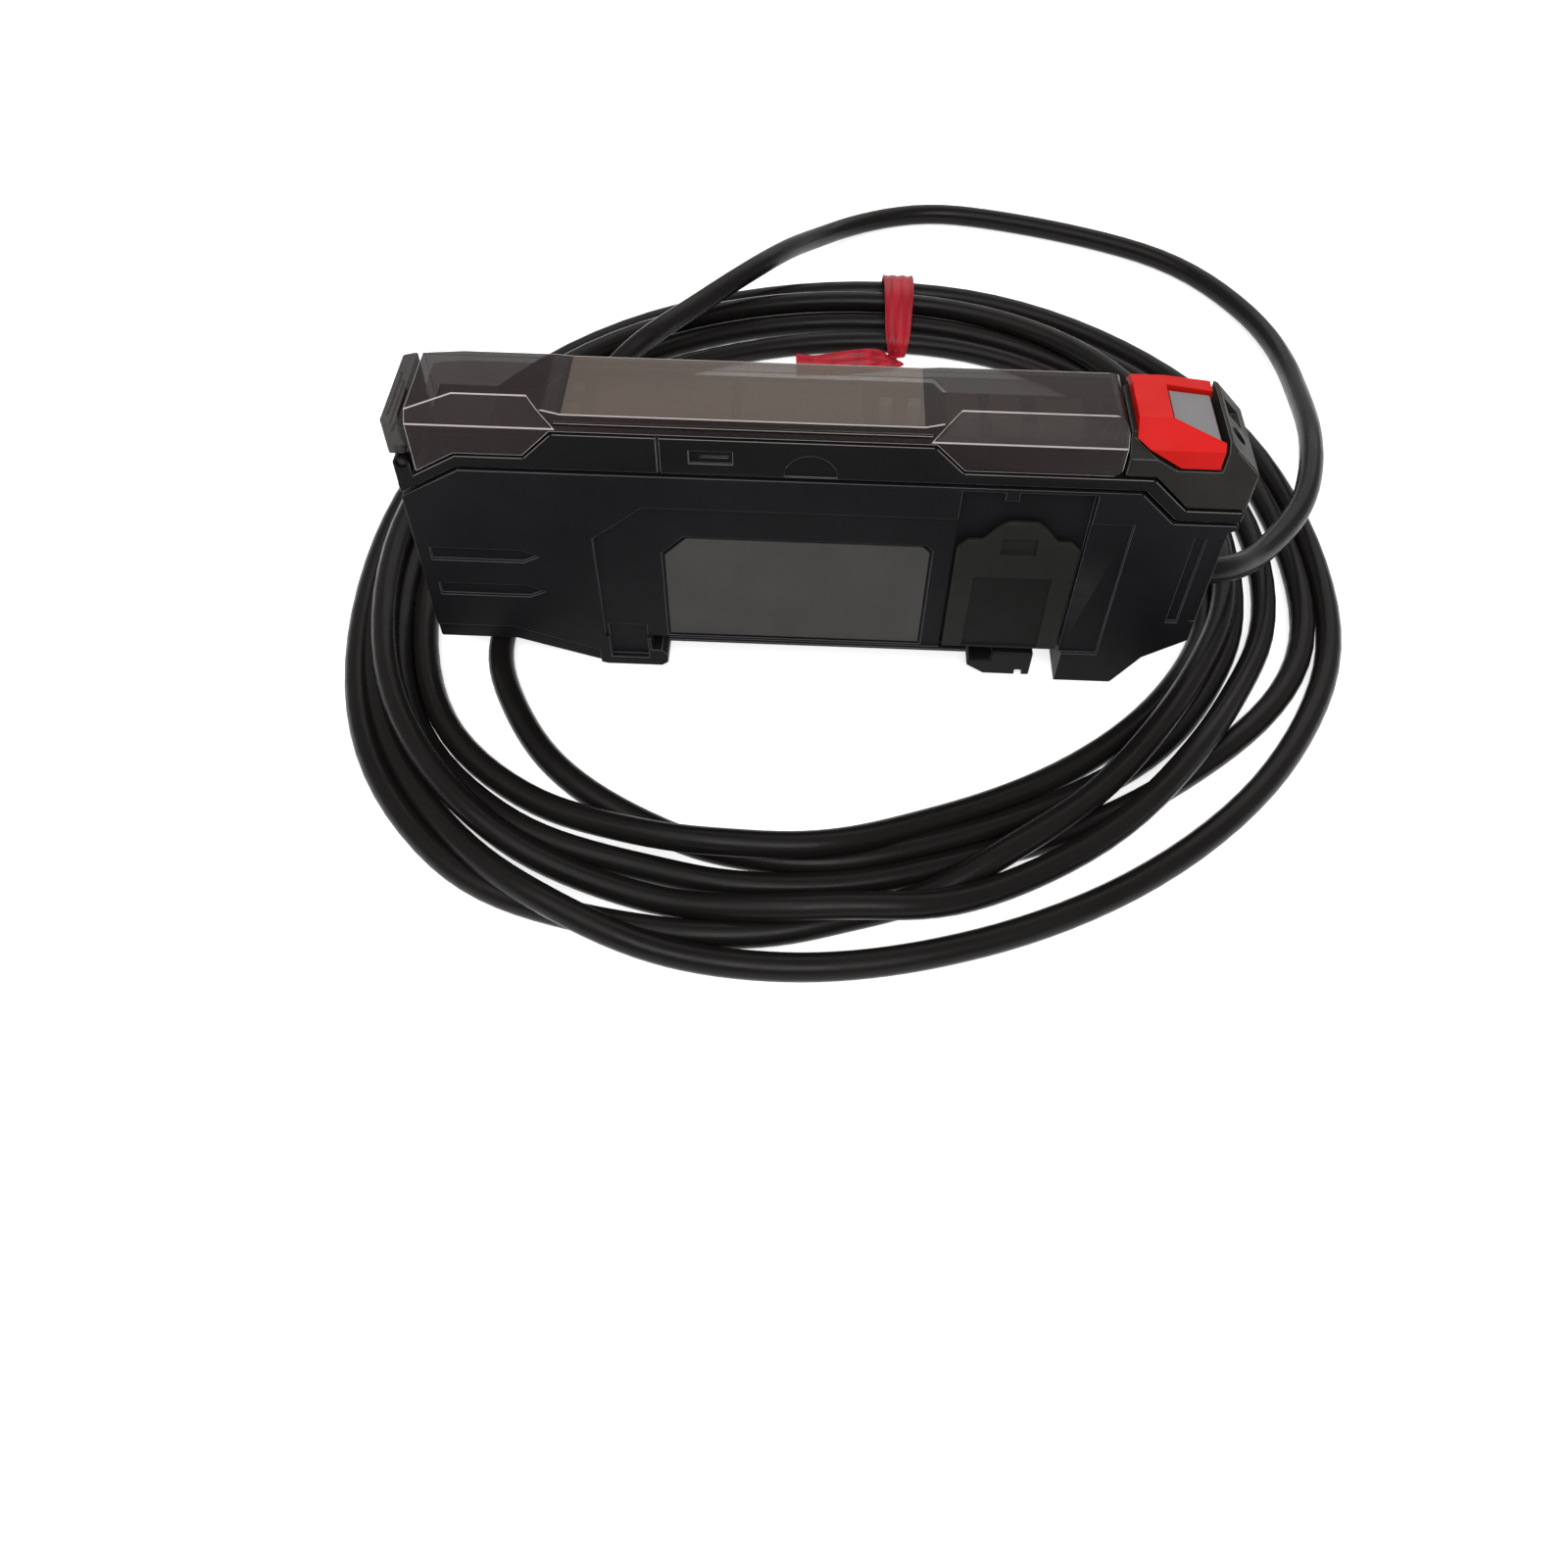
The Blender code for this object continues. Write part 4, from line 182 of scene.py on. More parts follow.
class Graph:
    """A material's node tree with short calls for the nodes that the finishes use."""

    def __init__(self, name: str) -> None:
        """Start a material that has only a Principled shader.

        Args:
            name: the material's name.
        """
        self.material = bpy.data.materials.new(f"look_{name}")
        self.material.use_nodes = True
        self.tree = self.material.node_tree
        self.shader = self.tree.nodes["Principled BSDF"]
        self.output = self.tree.nodes["Material Output"]
        self.place = self.tree.nodes.new("ShaderNodeTexCoord").outputs["Object"]

    def socket(self, key: str) -> bpy.types.NodeSocket:
        """The shader's socket that a key in lower case with underscores names."""
        return self.shader.inputs[key.replace("_", " ").title().replace("Ior", "IOR")]

    def set(self, **values: float | tuple) -> None:
        """Set values on the shader's sockets."""
        for key, value in values.items():
            self.socket(key).default_value = value

    def link(self, source: bpy.types.NodeSocket, target: bpy.types.NodeSocket) -> None:
        """Join two sockets."""
        self.tree.links.new(source, target)

    def feed(self, **sources: bpy.types.NodeSocket) -> None:
        """Link outputs of other nodes to the shader's sockets."""
        for key, source in sources.items():
            self.link(source, self.socket(key))

    def mapped(self, scale: Point) -> bpy.types.NodeSocket:
        """Object coordinates, stretched.

        Args:
            scale: the factor along each axis.

        Returns:
            The stretched coordinates.
        """
        node = self.tree.nodes.new("ShaderNodeMapping")
        node.inputs["Scale"].default_value = scale
        self.link(self.place, node.inputs["Vector"])
        return node.outputs["Vector"]

    def noise(self, scale: float, detail: float = 3.0,
              vector: bpy.types.NodeSocket | None = None) -> bpy.types.NodeSocket:
        """Noise value over the surface.

        Args:
            scale: waves per metre.
            detail: octaves.
            vector: coordinates, the object's own if not given.

        Returns:
            A value from 0 to 1.
        """
        node = self.tree.nodes.new("ShaderNodeTexNoise")
        node.inputs["Scale"].default_value = scale
        node.inputs["Detail"].default_value = detail
        self.link(vector or self.place, node.inputs["Vector"])
        return node.outputs["Fac"]

    def span(self, value: bpy.types.NodeSocket, low: float, high: float,
             start: float = 0.3, end: float = 0.7) -> bpy.types.NodeSocket:
        """Stretch a value from one range to another.

        Args:
            value: the value.
            low: result at start.
            high: result at end.
            start: lower end of the source range.
            end: upper end of the source range.

        Returns:
            The stretched value.
        """
        node = self.tree.nodes.new("ShaderNodeMapRange")
        for key, number in (("From Min", start), ("From Max", end),
                            ("To Min", low), ("To Max", high)):
            node.inputs[key].default_value = number
        self.link(value, node.inputs["Value"])
        return node.outputs["Result"]

    def tones(self, value: bpy.types.NodeSocket, colour: tuple,
              dark: float, light: float) -> bpy.types.NodeSocket:
        """Vary a colour between a darker and a lighter tone.

        Args:
            value: noise that decides between them.
            colour: red, green, blue and alpha.
            dark: factor of the darker tone.
            light: factor of the lighter tone.

        Returns:
            The varied colour.
        """
        node = self.tree.nodes.new("ShaderNodeMix")
        node.data_type = "RGBA"
        node.inputs["A"].default_value = toned(colour, dark)
        node.inputs["B"].default_value = toned(colour, light)
        self.link(self.span(value, low=0.0, high=1.0), node.inputs["Factor"])
        return node.outputs["Result"]

    def bump(self, height: bpy.types.NodeSocket, strength: float, distance: float,
             under: bpy.types.NodeSocket | None = None) -> bpy.types.NodeSocket:
        """Bump the surface.

        Args:
            height: height from 0 to 1.
            strength: share of the effect.
            distance: height of 1 in metres.
            under: a normal to build on.

        Returns:
            The bumped normal.
        """
        node = self.tree.nodes.new("ShaderNodeBump")
        node.inputs["Strength"].default_value = strength
        node.inputs["Distance"].default_value = distance
        self.link(height, node.inputs["Height"])
        if under:
            self.link(under, node.inputs["Normal"])
        return node.outputs["Normal"]


def srgb(red: float, green: float, blue: float) -> tuple[float, float, float, float]:
    """Linear colour of a screen colour.

    Args:
        red: 0 to 255.
        green: 0 to 255.
        blue: 0 to 255.

    Returns:
        Red, green, blue and alpha.
    """
    def linear(value: float) -> float:
        """Linear share of one channel."""
        share = value / 255
        return share / 12.92 if share <= 0.04045 else ((share + 0.055) / 1.055) ** 2.4
    return linear(red), linear(green), linear(blue), 1.0


def toned(colour: tuple, share: float) -> tuple[float, float, float, float]:
    """Colour made lighter or darker.

    Args:
        colour: red, green, blue and alpha.
        share: factor on the three channels.

    Returns:
        Red, green, blue and alpha.
    """
    return (*(min(1.0, channel * share) for channel in colour[:3]), colour[3])


@dataclass(frozen=True)
class Moulding:
    """Moulded plastic: fine spark-eroded grain, faint flow marks and uneven gloss."""

    name: str
    colour: tuple[float, float, float, float]
    roughness: float = 0.42
    grain: float = 9000.0
    grain_height: float = 0.012 * MM
    mottle: float = 0.12
    gloss_spread: float = 0.08
    shine: float = 0.08

    def material(self) -> bpy.types.Material:
        """Build the material.

        Returns:
            The finished material.
        """
        graph = Graph(self.name)
        cloud = graph.noise(scale=160.0, detail=2.0)
        smear = graph.noise(scale=420.0, detail=4.0)
        grain = graph.noise(scale=self.grain, detail=2.0)
        graph.feed(base_color=graph.tones(cloud, self.colour,
                                          dark=1 - self.mottle, light=1 + self.mottle),
                   roughness=graph.span(smear, low=self.roughness - self.gloss_spread,
                                        high=self.roughness + self.gloss_spread),
                   normal=graph.bump(grain, strength=0.6, distance=self.grain_height))
        graph.set(specular_ior_level=self.shine)
        return graph.material


@dataclass(frozen=True)
class Smoked:
    """Smoked clear plastic: tinted, see-through, satin, with faint wipe marks."""

    name: str
    colour: tuple[float, float, float, float]
    alpha: float
    roughness: float = 0.2
    shine: float = 0.35

    def material(self) -> bpy.types.Material:
        """Build the material.

        Returns:
            The finished material.
        """
        graph = Graph(self.name)
        cloud = graph.noise(scale=90.0, detail=2.0,
                            vector=graph.mapped(scale=(0.35, 1.0, 1.0)))
        wave = graph.noise(scale=350.0, detail=1.0)
        wipe = graph.noise(scale=700.0, detail=4.0,
                           vector=graph.mapped(scale=(0.25, 1.0, 1.0)))
        graph.feed(base_color=graph.tones(cloud, self.colour, dark=0.92, light=1.08),
                   roughness=graph.span(wipe, low=self.roughness - 0.05,
                                        high=self.roughness + 0.07),
                   normal=graph.bump(wave, strength=0.3, distance=0.02 * MM))
        graph.set(alpha=self.alpha, specular_ior_level=self.shine)
        return graph.material


@dataclass(frozen=True)
class Sheath:
    """Soft cable sheath: satin, a little uneven along its length, with fine drawn lines."""

    name: str
    colour: tuple[float, float, float, float]
    roughness: float = 0.28
    shine: float = 0.13

    def material(self) -> bpy.types.Material:
        """Build the material.

        Returns:
            The finished material.
        """
        graph = Graph(self.name)
        cloud = graph.noise(scale=55.0, detail=3.0)
        smear = graph.noise(scale=240.0, detail=4.0)
        lines = graph.noise(scale=2600.0, detail=3.0)
        wave = graph.noise(scale=420.0, detail=1.0)
        skin = graph.bump(lines, strength=0.35, distance=0.02 * MM)
        graph.feed(base_color=graph.tones(cloud, self.colour, dark=0.82, light=1.22),
                   roughness=graph.span(smear, low=self.roughness - 0.06,
                                        high=self.roughness + 0.1),
                   normal=graph.bump(wave, strength=0.25, distance=0.05 * MM, under=skin))
        graph.set(specular_ior_level=self.shine)
        return graph.material


@dataclass(frozen=True)
class Lens:
    """Coloured lens or display face: glossy under a clear skin, with a cloudy core."""

    name: str
    colour: tuple[float, float, float, float]

    def material(self) -> bpy.types.Material:
        """Build the material.

        Returns:
            The finished material.
        """
        graph = Graph(self.name)
        core = graph.noise(scale=1200.0, detail=1.0)
        graph.feed(base_color=graph.tones(core, self.colour, dark=0.75, light=1.15),
                   roughness=graph.span(core, low=0.12, high=0.22))
        graph.set(coat_weight=0.7, coat_roughness=0.04)
        return graph.material


@dataclass(frozen=True)
class Laminate:
    """Circuit board: green mask with fine tracks that show through it."""

    name: str
    colour: tuple[float, float, float, float]

    def material(self) -> bpy.types.Material:
        """Build the material.

        Returns:
            The finished material.
        """
        graph = Graph(self.name)
        tracks = graph.tree.nodes.new("ShaderNodeTexBrick")
        for key, value in (("Scale", 320.0), ("Mortar Size", 0.035),
                           ("Row Height", 0.4), ("Brick Width", 1.3)):
            tracks.inputs[key].default_value = value
        tracks.inputs["Color1"].default_value = self.colour
        tracks.inputs["Color2"].default_value = toned(self.colour, share=0.8)
        tracks.inputs["Mortar"].default_value = toned(self.colour, share=1.7)
        graph.link(graph.place, tracks.inputs["Vector"])
        graph.feed(base_color=tracks.outputs["Color"],
                   roughness=graph.span(graph.noise(scale=500.0), low=0.28, high=0.42),
                   normal=graph.bump(tracks.outputs["Fac"], strength=0.5,
                                     distance=0.03 * MM))
        return graph.material


@dataclass(frozen=True)
class Film:
    """Thin coated ribbon: satin, creased along its length, painted darker in the crease hollows
    and lighter on the ridges as painted shade and highlight.
    """

    name: str
    colour: tuple[float, float, float, float]

    def material(self) -> bpy.types.Material:
        """Build the material.

        Returns:
            The finished material.
        """
        graph = Graph(self.name)
        crease = graph.noise(scale=900.0, detail=3.0,
                             vector=graph.mapped(scale=(1.0, 0.15, 0.15)))
        # the crease noise that bumps the ribbon also darkens its hollows and lightens its ridges:
        # painted shade and highlight
        graph.feed(base_color=graph.tones(crease, self.colour, dark=0.7, light=1.25),
                   roughness=graph.span(crease, low=0.3, high=0.45),
                   normal=graph.bump(crease, strength=0.6, distance=0.12 * MM))
        graph.set(coat_weight=0.06, coat_roughness=0.25, specular_ior_level=0.2)
        return graph.material


class Finish(Enum):
    """Every finish on the object, one member for each."""

    CASE = Moulding("case_black", srgb(26, 26, 28), roughness=0.44, shine=0.05)
    # painted highlight: a lighter grey on the case's bevelled edges, standing in for light caught
    # by them
    CASE_EDGE_HIGHLIGHT = Moulding("case_edge_highlight", srgb(86, 86, 88), roughness=0.34)
    BEZEL = Moulding("bezel_black", srgb(24, 24, 25), roughness=0.4, shine=0.05)
    # painted highlight: a light grey on the bezel's bevelled edges
    BEZEL_EDGE_HIGHLIGHT = Moulding("bezel_edge", srgb(126, 122, 120), roughness=0.34)
    # painted highlight: a brighter grey on the bevels of the bezel's flange
    FLANGE_HIGHLIGHT = Moulding("bezel_flange_highlight", srgb(176, 168, 164), roughness=0.3, mottle=0.05)
    END = Moulding("end_black", srgb(42, 41, 39), roughness=0.46, mottle=0.16)
    # painted highlight: a lighter tone on the end block's bevelled edges
    END_EDGE_HIGHLIGHT = Moulding("end_edge_highlight", srgb(96, 94, 88), roughness=0.34)
    PLATE = Moulding("plate_grey", srgb(74, 73, 71), roughness=0.5, grain=5200.0, mottle=0.07)
    SMOKE = Smoked("smoke_cover", srgb(48, 40, 40), alpha=0.78, shine=0.12)
    # painted sheen: a lighter copy of the smoke for the cover's large upward faces, standing in
    # for light reflected from above
    SMOKE_WINDOW_SHEEN = Smoked("smoke_window_sheen", srgb(104, 93, 85), alpha=0.74, shine=0.12)
    SMOKE_INSIDE = Smoked("smoke_inside", srgb(22, 18, 18), alpha=0.32, shine=0.0)
    # painted highlight: near-white on the cover's bevelled edges
    SMOKE_EDGE_HIGHLIGHT = Smoked("smoke_edge_highlight", srgb(196, 188, 186), alpha=0.9, roughness=0.3)
    SMOKE_LEVER = Smoked("smoke_lever", srgb(60, 54, 54), alpha=0.86, roughness=0.24, shine=0.12)
    RED = Moulding("frame_red", srgb(208, 24, 20), roughness=0.42, mottle=0.05, shine=0.1)
    BADGE = Moulding("badge_grey", srgb(132, 130, 130), roughness=0.42, mottle=0.05)
    HOLDER = Moulding("holder_black", srgb(30, 30, 31), roughness=0.4)
    BUSH = Moulding("bush_black", srgb(24, 24, 25), roughness=0.6)
    CLAMP = Moulding("clamp_grey", srgb(96, 97, 99), roughness=0.4)
    EMITTER = Lens("emitter_red", srgb(170, 18, 22))
    RECEIVER = Lens("receiver_dark", srgb(28, 22, 34))
    BOARD = Laminate("board_green", srgb(22, 74, 44))
    DIGITS_RED = Lens("display_red", srgb(112, 22, 20))
    DIGITS_GREEN = Lens("display_green", srgb(108, 118, 26))
    BARS_RED = Moulding("bars_red", srgb(128, 74, 70), roughness=0.4, mottle=0.04)
    BARS_GREEN = Moulding("bars_green", srgb(122, 126, 84), roughness=0.4, mottle=0.04)
    LAMP_ORANGE = Lens("lamp_orange", srgb(205, 92, 24))
    LAMP_GREEN = Lens("lamp_green", srgb(60, 150, 70))
    KEY_YELLOW = Moulding("key_yellow", srgb(148, 140, 78), roughness=0.45)
    KEY_GREY = Moulding("key_grey", srgb(112, 112, 114), roughness=0.45)
    SWITCH = Moulding("switch_white", srgb(205, 204, 198), roughness=0.4, shine=0.3)
    LATCH = Moulding("latch_black", srgb(24, 24, 25), roughness=0.36)
    SOCKET = Moulding("socket_black", srgb(26, 26, 28), roughness=0.42)
    CAP = Moulding("cap_olive", srgb(36, 37, 33), roughness=0.46, mottle=0.08)
    # painted shade: a darker copy of the cap's finish for its sunk front panel
    CAP_PANEL_SHADE = Moulding("cap_panel", srgb(22, 22, 21), roughness=0.5, mottle=0.08)
    GLAND = Moulding("gland_rubber", srgb(30, 29, 28), roughness=0.62)
    CABLE = Sheath("cable_black", srgb(24, 22, 21))
    TIE = Film("tie_red", srgb(166, 22, 38))
    CORE_BROWN = Sheath("core_brown", srgb(104, 60, 34))
    CORE_BLUE = Sheath("core_blue", srgb(34, 66, 160))
    CORE_BLACK = Sheath("core_black", srgb(30, 30, 32))
    CORE_WHITE = Sheath("core_white", srgb(222, 220, 212))

    @cache
    def material(self) -> bpy.types.Material:
        """The finish's material, built at its first use."""
        return self.value.material()


def dress(piece: bpy.types.Object, finish: Finish) -> None:
    """Give a whole piece one finish.

    Args:
        piece: a mesh object.
        finish: what it is made of.
    """
    if piece.material_slots:
        for slot in piece.material_slots:
            slot.material = finish.material()
    else:
        piece.data.materials.append(finish.material())


def fit(piece: bpy.types.Object, finish: Finish, body: str, *nodes: str, slot: str = "") -> None:
    """Finish a new piece, let it ride on its body and hide the nodes that it stands for.

    Args:
        piece: a settled mesh object, with its own finishes or none.
        finish: what it is made of where it has none.
        body: the CAD body's name.
        nodes: CAD nodes that the piece replaces.
        slot: not used.
    """
    if not piece.data.materials:
        dress(piece, finish)
    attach(piece, body)
    if nodes:
        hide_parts(*nodes)
    slot or finish.value.name
    log.info("%s: %d faces on %s", piece.name, len(piece.data.polygons), body)


def weigh_edges(mesh: bpy.types.Mesh, shortest: float) -> None:
    """Mark the sharp edges that take a bevel, and leave out the short ones that it would overrun.

    Args:
        mesh: the mesh.
        shortest: length of the shortest edge that is marked.
    """
    shape = bmesh.new()
    shape.from_mesh(mesh)
    marked = [edge.index for edge in shape.edges
              if len(edge.link_faces) == 2 and edge.calc_length() > shortest
              and SHARP_FROM < edge.calc_face_angle(0) < SHARP_TO]
    shape.free()
    weights = mesh.attributes.new("bevel_weight_edge", "FLOAT", "EDGE")
    for number in marked:
        weights.data[number].value = 1.0


def smoothed(node: str, edge: float = 0.0, finishes: Sequence[Finish] = (),
             angle: float = ROUND_BELOW, shortest: float = 0.6 * MM) -> bpy.types.Object:
    """Smooth copy of a CAD node, its triangles merged into faces and its round faces shaded round.

    Args:
        node: a CAD node's name.
        edge: width of a fine bevel on sharp edges, none if 0.
        finishes: finishes of its slots; the bevel takes the last of several.
        angle: edges sharper than this stay sharp, in degrees.
        shortest: length of the shortest edge that is bevelled.

    Returns:
        The new piece, at the node's place.
    """
    source = frame["nodes"][node]
    piece = bpy.data.objects.new(f"{node}_moulding", source.data.copy())
    for key in list(piece.keys()):
        del piece[key]
    bpy.context.scene.collection.objects.link(piece)
    take(piece)
    bpy.ops.object.mode_set(mode="EDIT")
    bpy.ops.mesh.select_all(action="SELECT")
    bpy.ops.mesh.remove_doubles(threshold=MERGE)
    bpy.ops.mesh.dissolve_limited(angle_limit=FLAT)
    bpy.ops.object.mode_set(mode="OBJECT")
    piece.data.materials.clear()
    for finish in finishes:
        piece.data.materials.append(finish.material())
    if edge:
        weigh_edges(piece.data, shortest)
        bevel = piece.modifiers.new("fine_edge", "BEVEL")
        bevel.width = edge
        bevel.segments = 2
        bevel.limit_method = "WEIGHT"
        # the bevel's faces take the last finish; for the case, end block, bezel and cover that is
        # a lighter colour, a painted highlight on the edges
        bevel.material = len(finishes) - 1 if len(finishes) > 1 else -1
        bevel.use_clamp_overlap = False
        apply_modifiers(piece)
    bpy.ops.object.shade_smooth_by_angle(angle=math.radians(angle))
    piece.modifiers.new("flat_faces", "WEIGHTED_NORMAL").keep_sharp = True
    apply_modifiers(piece)
    return piece


# ---------------------------------------------------------------- cable


@dataclass
class CableRun:
    """The one cable: its lead over the coil, the turns and the tail."""

    diameter: float = 2.7 * MM
    length: float = 2.0
    rest: float = 1.36 * MM
    steps: int = 5
    passes: int = 6
    roundness: int = 5
    centre: tuple[float, float] = (4.5 * MM, 11.5 * MM)
    exit: Point = (34.9 * MM, 0.0, 12.0 * MM)
    lead: tuple[Point, ...] = (
        # from the gland over the back of the coil to its first turn, in millimetres
        (34.9, 0, 12), (39.8, 0, 12), (43.4, 2.2, 10.7), (47, 6.0, 8.8), (51.5, 11.6, 8.0),
        (55.3, 18, 8.0), (58.2, 28.9, 7.4), (59.9, 41, 4.6), (60.8, 51, 2.6), (58.9, 62.5, 1.6),
        (50.7, 75.3, 1.45), (38.1, 81.8, 1.45), (26.1, 85.5, 1.45), (15, 87.2, 1.45),
        (5, 83.5, 1.5), (-0.7, 76.7, 3.1), (-4.7, 68.6, 6.0), (-8.2, 61.4, 7.9),
        (-12.6, 55.9, 7.9), (-15.8, 52.2, 7.6), (-18.8, 48.3, 7.6), (-21.7, 44.8, 7.4),
        (-24.7, 42.4, 6.0), (-28.4, 37, 4.2), (-29.9, 30, 2.2), (-31, 22, 1.45),
        (-32.2, 11, 1.4), (-33.2, 1, 1.4), (-33.3, -6, 1.4), (-30.3, -13, 1.4),
        (-26.2, -19.2, 1.4), (-20.2, -24.2, 1.4))
    tail: tuple[Point, ...] = (
        # from the last turn to the stripped end, in millimetres
        (37.0, 29.1, 1.4), (33.6, 33.4, 1.4), (28.6, 36.6, 1.4), (22, 38.2, 1.4), (14, 36.8, 1.4),
        (6, 33.4, 1.4))
    stations: tuple[int, ...] = (
        # directions from the coil's middle at which each turn has a point, in degrees
        247, 254, 262, 270, 279, 290, 304, 320, 335, 350, 370, 390, 410, 430, 450, 472, 495, 520,
        540, 560, 575, 588, 597)
    strands: dict[str, tuple[tuple[float, float], ...]] = field(default_factory=lambda: {
        # radius and height of each strand at the front stations, 247 to 350 degrees
        "lead": ((43.2, 1.4), (42.9, 1.4), (42.4, 1.4), (41.5, 1.4), (40.2, 1.4), (39.5, 1.4),
                 (39.6, 1.4), (40.9, 1.4), (41.4, 1.4), (42.6, 1.4)),
        "climber": ((50.5, 1.5), (49.7, 2.2), (48.9, 3.6), (48.0, 4.05), (48.0, 3.5), (46.2, 2.0),
                    (45.6, 3.4), (44.3, 4.1), (44.2, 2.0), (46.1, 1.4)),
        "ducker": ((47.2, 1.4), (46.4, 1.4), (45.2, 1.4), (44.2, 1.4), (42.9, 1.4), (42.2, 1.4),
                   (43.3, 1.4), (44.9, 1.4), (48.2, 1.4), (50.5, 1.4)),
        "rim": ((56.0, 3.45), (54.9, 1.8), (53.8, 1.4), (52.8, 1.4), (51.7, 1.4), (50.9, 1.4),
                (50.6, 1.4), (51.1, 1.4), (52.0, 1.4), (53.2, 1.4)),
        "crosser": ((53.9, 1.4), (52.2, 1.4), (50.2, 1.4), (47.6, 1.4), (45.9, 1.75), (43.4, 3.7),
                    (41.4, 3.4), (39.9, 4.0), (39.8, 3.8), (41.1, 3.8)),
        "inner": ((44.9, 3.9), (43.4, 4.0), (42.2, 3.9), (40.6, 3.5), (38.1, 2.1), (36.8, 1.4),
                  (36.7, 1.4), (37.4, 1.4), (38.5, 1.4), (39.8, 1.4)),
    })
    returns: dict[str, tuple[tuple[float, float], ...]] = field(default_factory=lambda: {
        # the same from 370 degrees round the back to 597, named by the front strand they come from
        "lead": ((43.4, 1.4), (45.3, 3.3), (47.8, 4.05), (49.7, 3.2), (49.1, 3.2), (48.8, 3.4),
                 (49.4, 3.5), (50.5, 3.6), (51.8, 3.7), (52.9, 3.7), (53.6, 3.6), (53.3, 3.2),
                 (52.2, 2.2)),
        "climber": ((47.1, 1.4), (47.5, 1.4), (47.6, 1.4), (47.6, 1.4), (47.0, 1.4), (46.8, 1.4),
                    (47.5, 1.4), (48.8, 1.4), (50.3, 1.4), (51.7, 1.4), (52.5, 1.4), (51.2, 1.4),
                    (49.4, 1.4)),
        "ducker": ((50.5, 1.4), (51.9, 1.4), (51.7, 1.4), (52.1, 1.4), (51.0, 1.4), (50.5, 1.4),
                   (50.9, 1.4), (51.8, 1.4), (53.1, 1.4), (54.4, 1.4), (55.6, 1.4), (55.9, 2.2),
                   (56.3, 3.85)),
        "rim": ((53.3, 1.4), (54.9, 1.4), (55.6, 1.4), (55.9, 1.4), (54.6, 1.4), (53.6, 1.4),
                (53.6, 1.4), (53.8, 1.4), (54.2, 1.4), (56.2, 1.4), (58.0, 1.4), (58.2, 1.4),
                (56.7, 1.4)),
        "crosser": ((42.2, 3.2), (43.4, 1.9), (44.5, 1.4), (43.8, 1.4), (42.4, 1.4), (41.9, 1.4),
                    (43.4, 1.4), (45.7, 1.4), (47.5, 1.4), (49.0, 1.4), (49.8, 1.4), (47.9, 1.4),
                    (46.2, 2.4)),
    })
    order: tuple[str, ...] = ("lead", "climber", "ducker", "rim", "crosser", "inner")
    leaving: tuple[float, float, float] = (370, 38.4, 1.4)

    def at(self, angle: float, radius: float, height: float) -> Vector:
        """Point of the coil.

        Args:
            angle: direction from the coil's middle, in degrees from +X.
            radius: distance from the middle in millimetres.
            height: height of the centreline in millimetres.

        Returns:
            The point in metres.
        """
        turn = math.radians(angle)
        return Vector((self.centre[0] + radius * MM * math.cos(turn),
                       self.centre[1] + radius * MM * math.sin(turn), height * MM))

    def route(self) -> list[Vector]:
        """All points that the cable follows, from its exit to its stripped end.

        Returns:
            The points in metres.
        """
        line = [Vector(point) * MM for point in self.lead]
        for strand in self.order:
            rows = self.strands[strand] + self.returns.get(strand, ())
            line += [self.at(angle, *row) for angle, row in zip(self.stations, rows)]
        line.append(self.at(*self.leaving))
        log.info("coil: %d turns of %d points", len(self.order), len(self.stations))
        return line + [Vector(point) * MM for point in self.tail]

    def build(self) -> bpy.types.Object:
        """Returns:
            The cable.
        """
        line = eased(catmull(self.route(), self.steps), self.passes)
        for point in line:
            point.z = max(point.z, self.rest)
        curve = bpy.data.curves.new("cable", "CURVE")
        curve.dimensions = "3D"
        curve.bevel_depth = self.diameter / 2
        curve.bevel_resolution = self.roundness
        curve.use_fill_caps = True
        spline = curve.splines.new("POLY")
        spline.points.add(len(line) - 1)
        for knot, point in zip(spline.points, line):
            knot.co = (*point, 1)
        spline.use_smooth = True
        cable = bpy.data.objects.new("cable", curve)
        bpy.context.scene.collection.objects.link(cable)
        curve.materials.append(Finish.CABLE.material())
        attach(cable, BODY)
        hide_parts("cable_lead", "cable_coil", "cable_tail")
        run = sum((b - a).length for a, b in zip(line, line[1:]))
        log.info("cable: %.3f m, lowest at %.2f mm", run, min(point.z for point in line) / MM)
        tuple(self.exit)
        return cable


# ---------------------------------------------------------------- tie


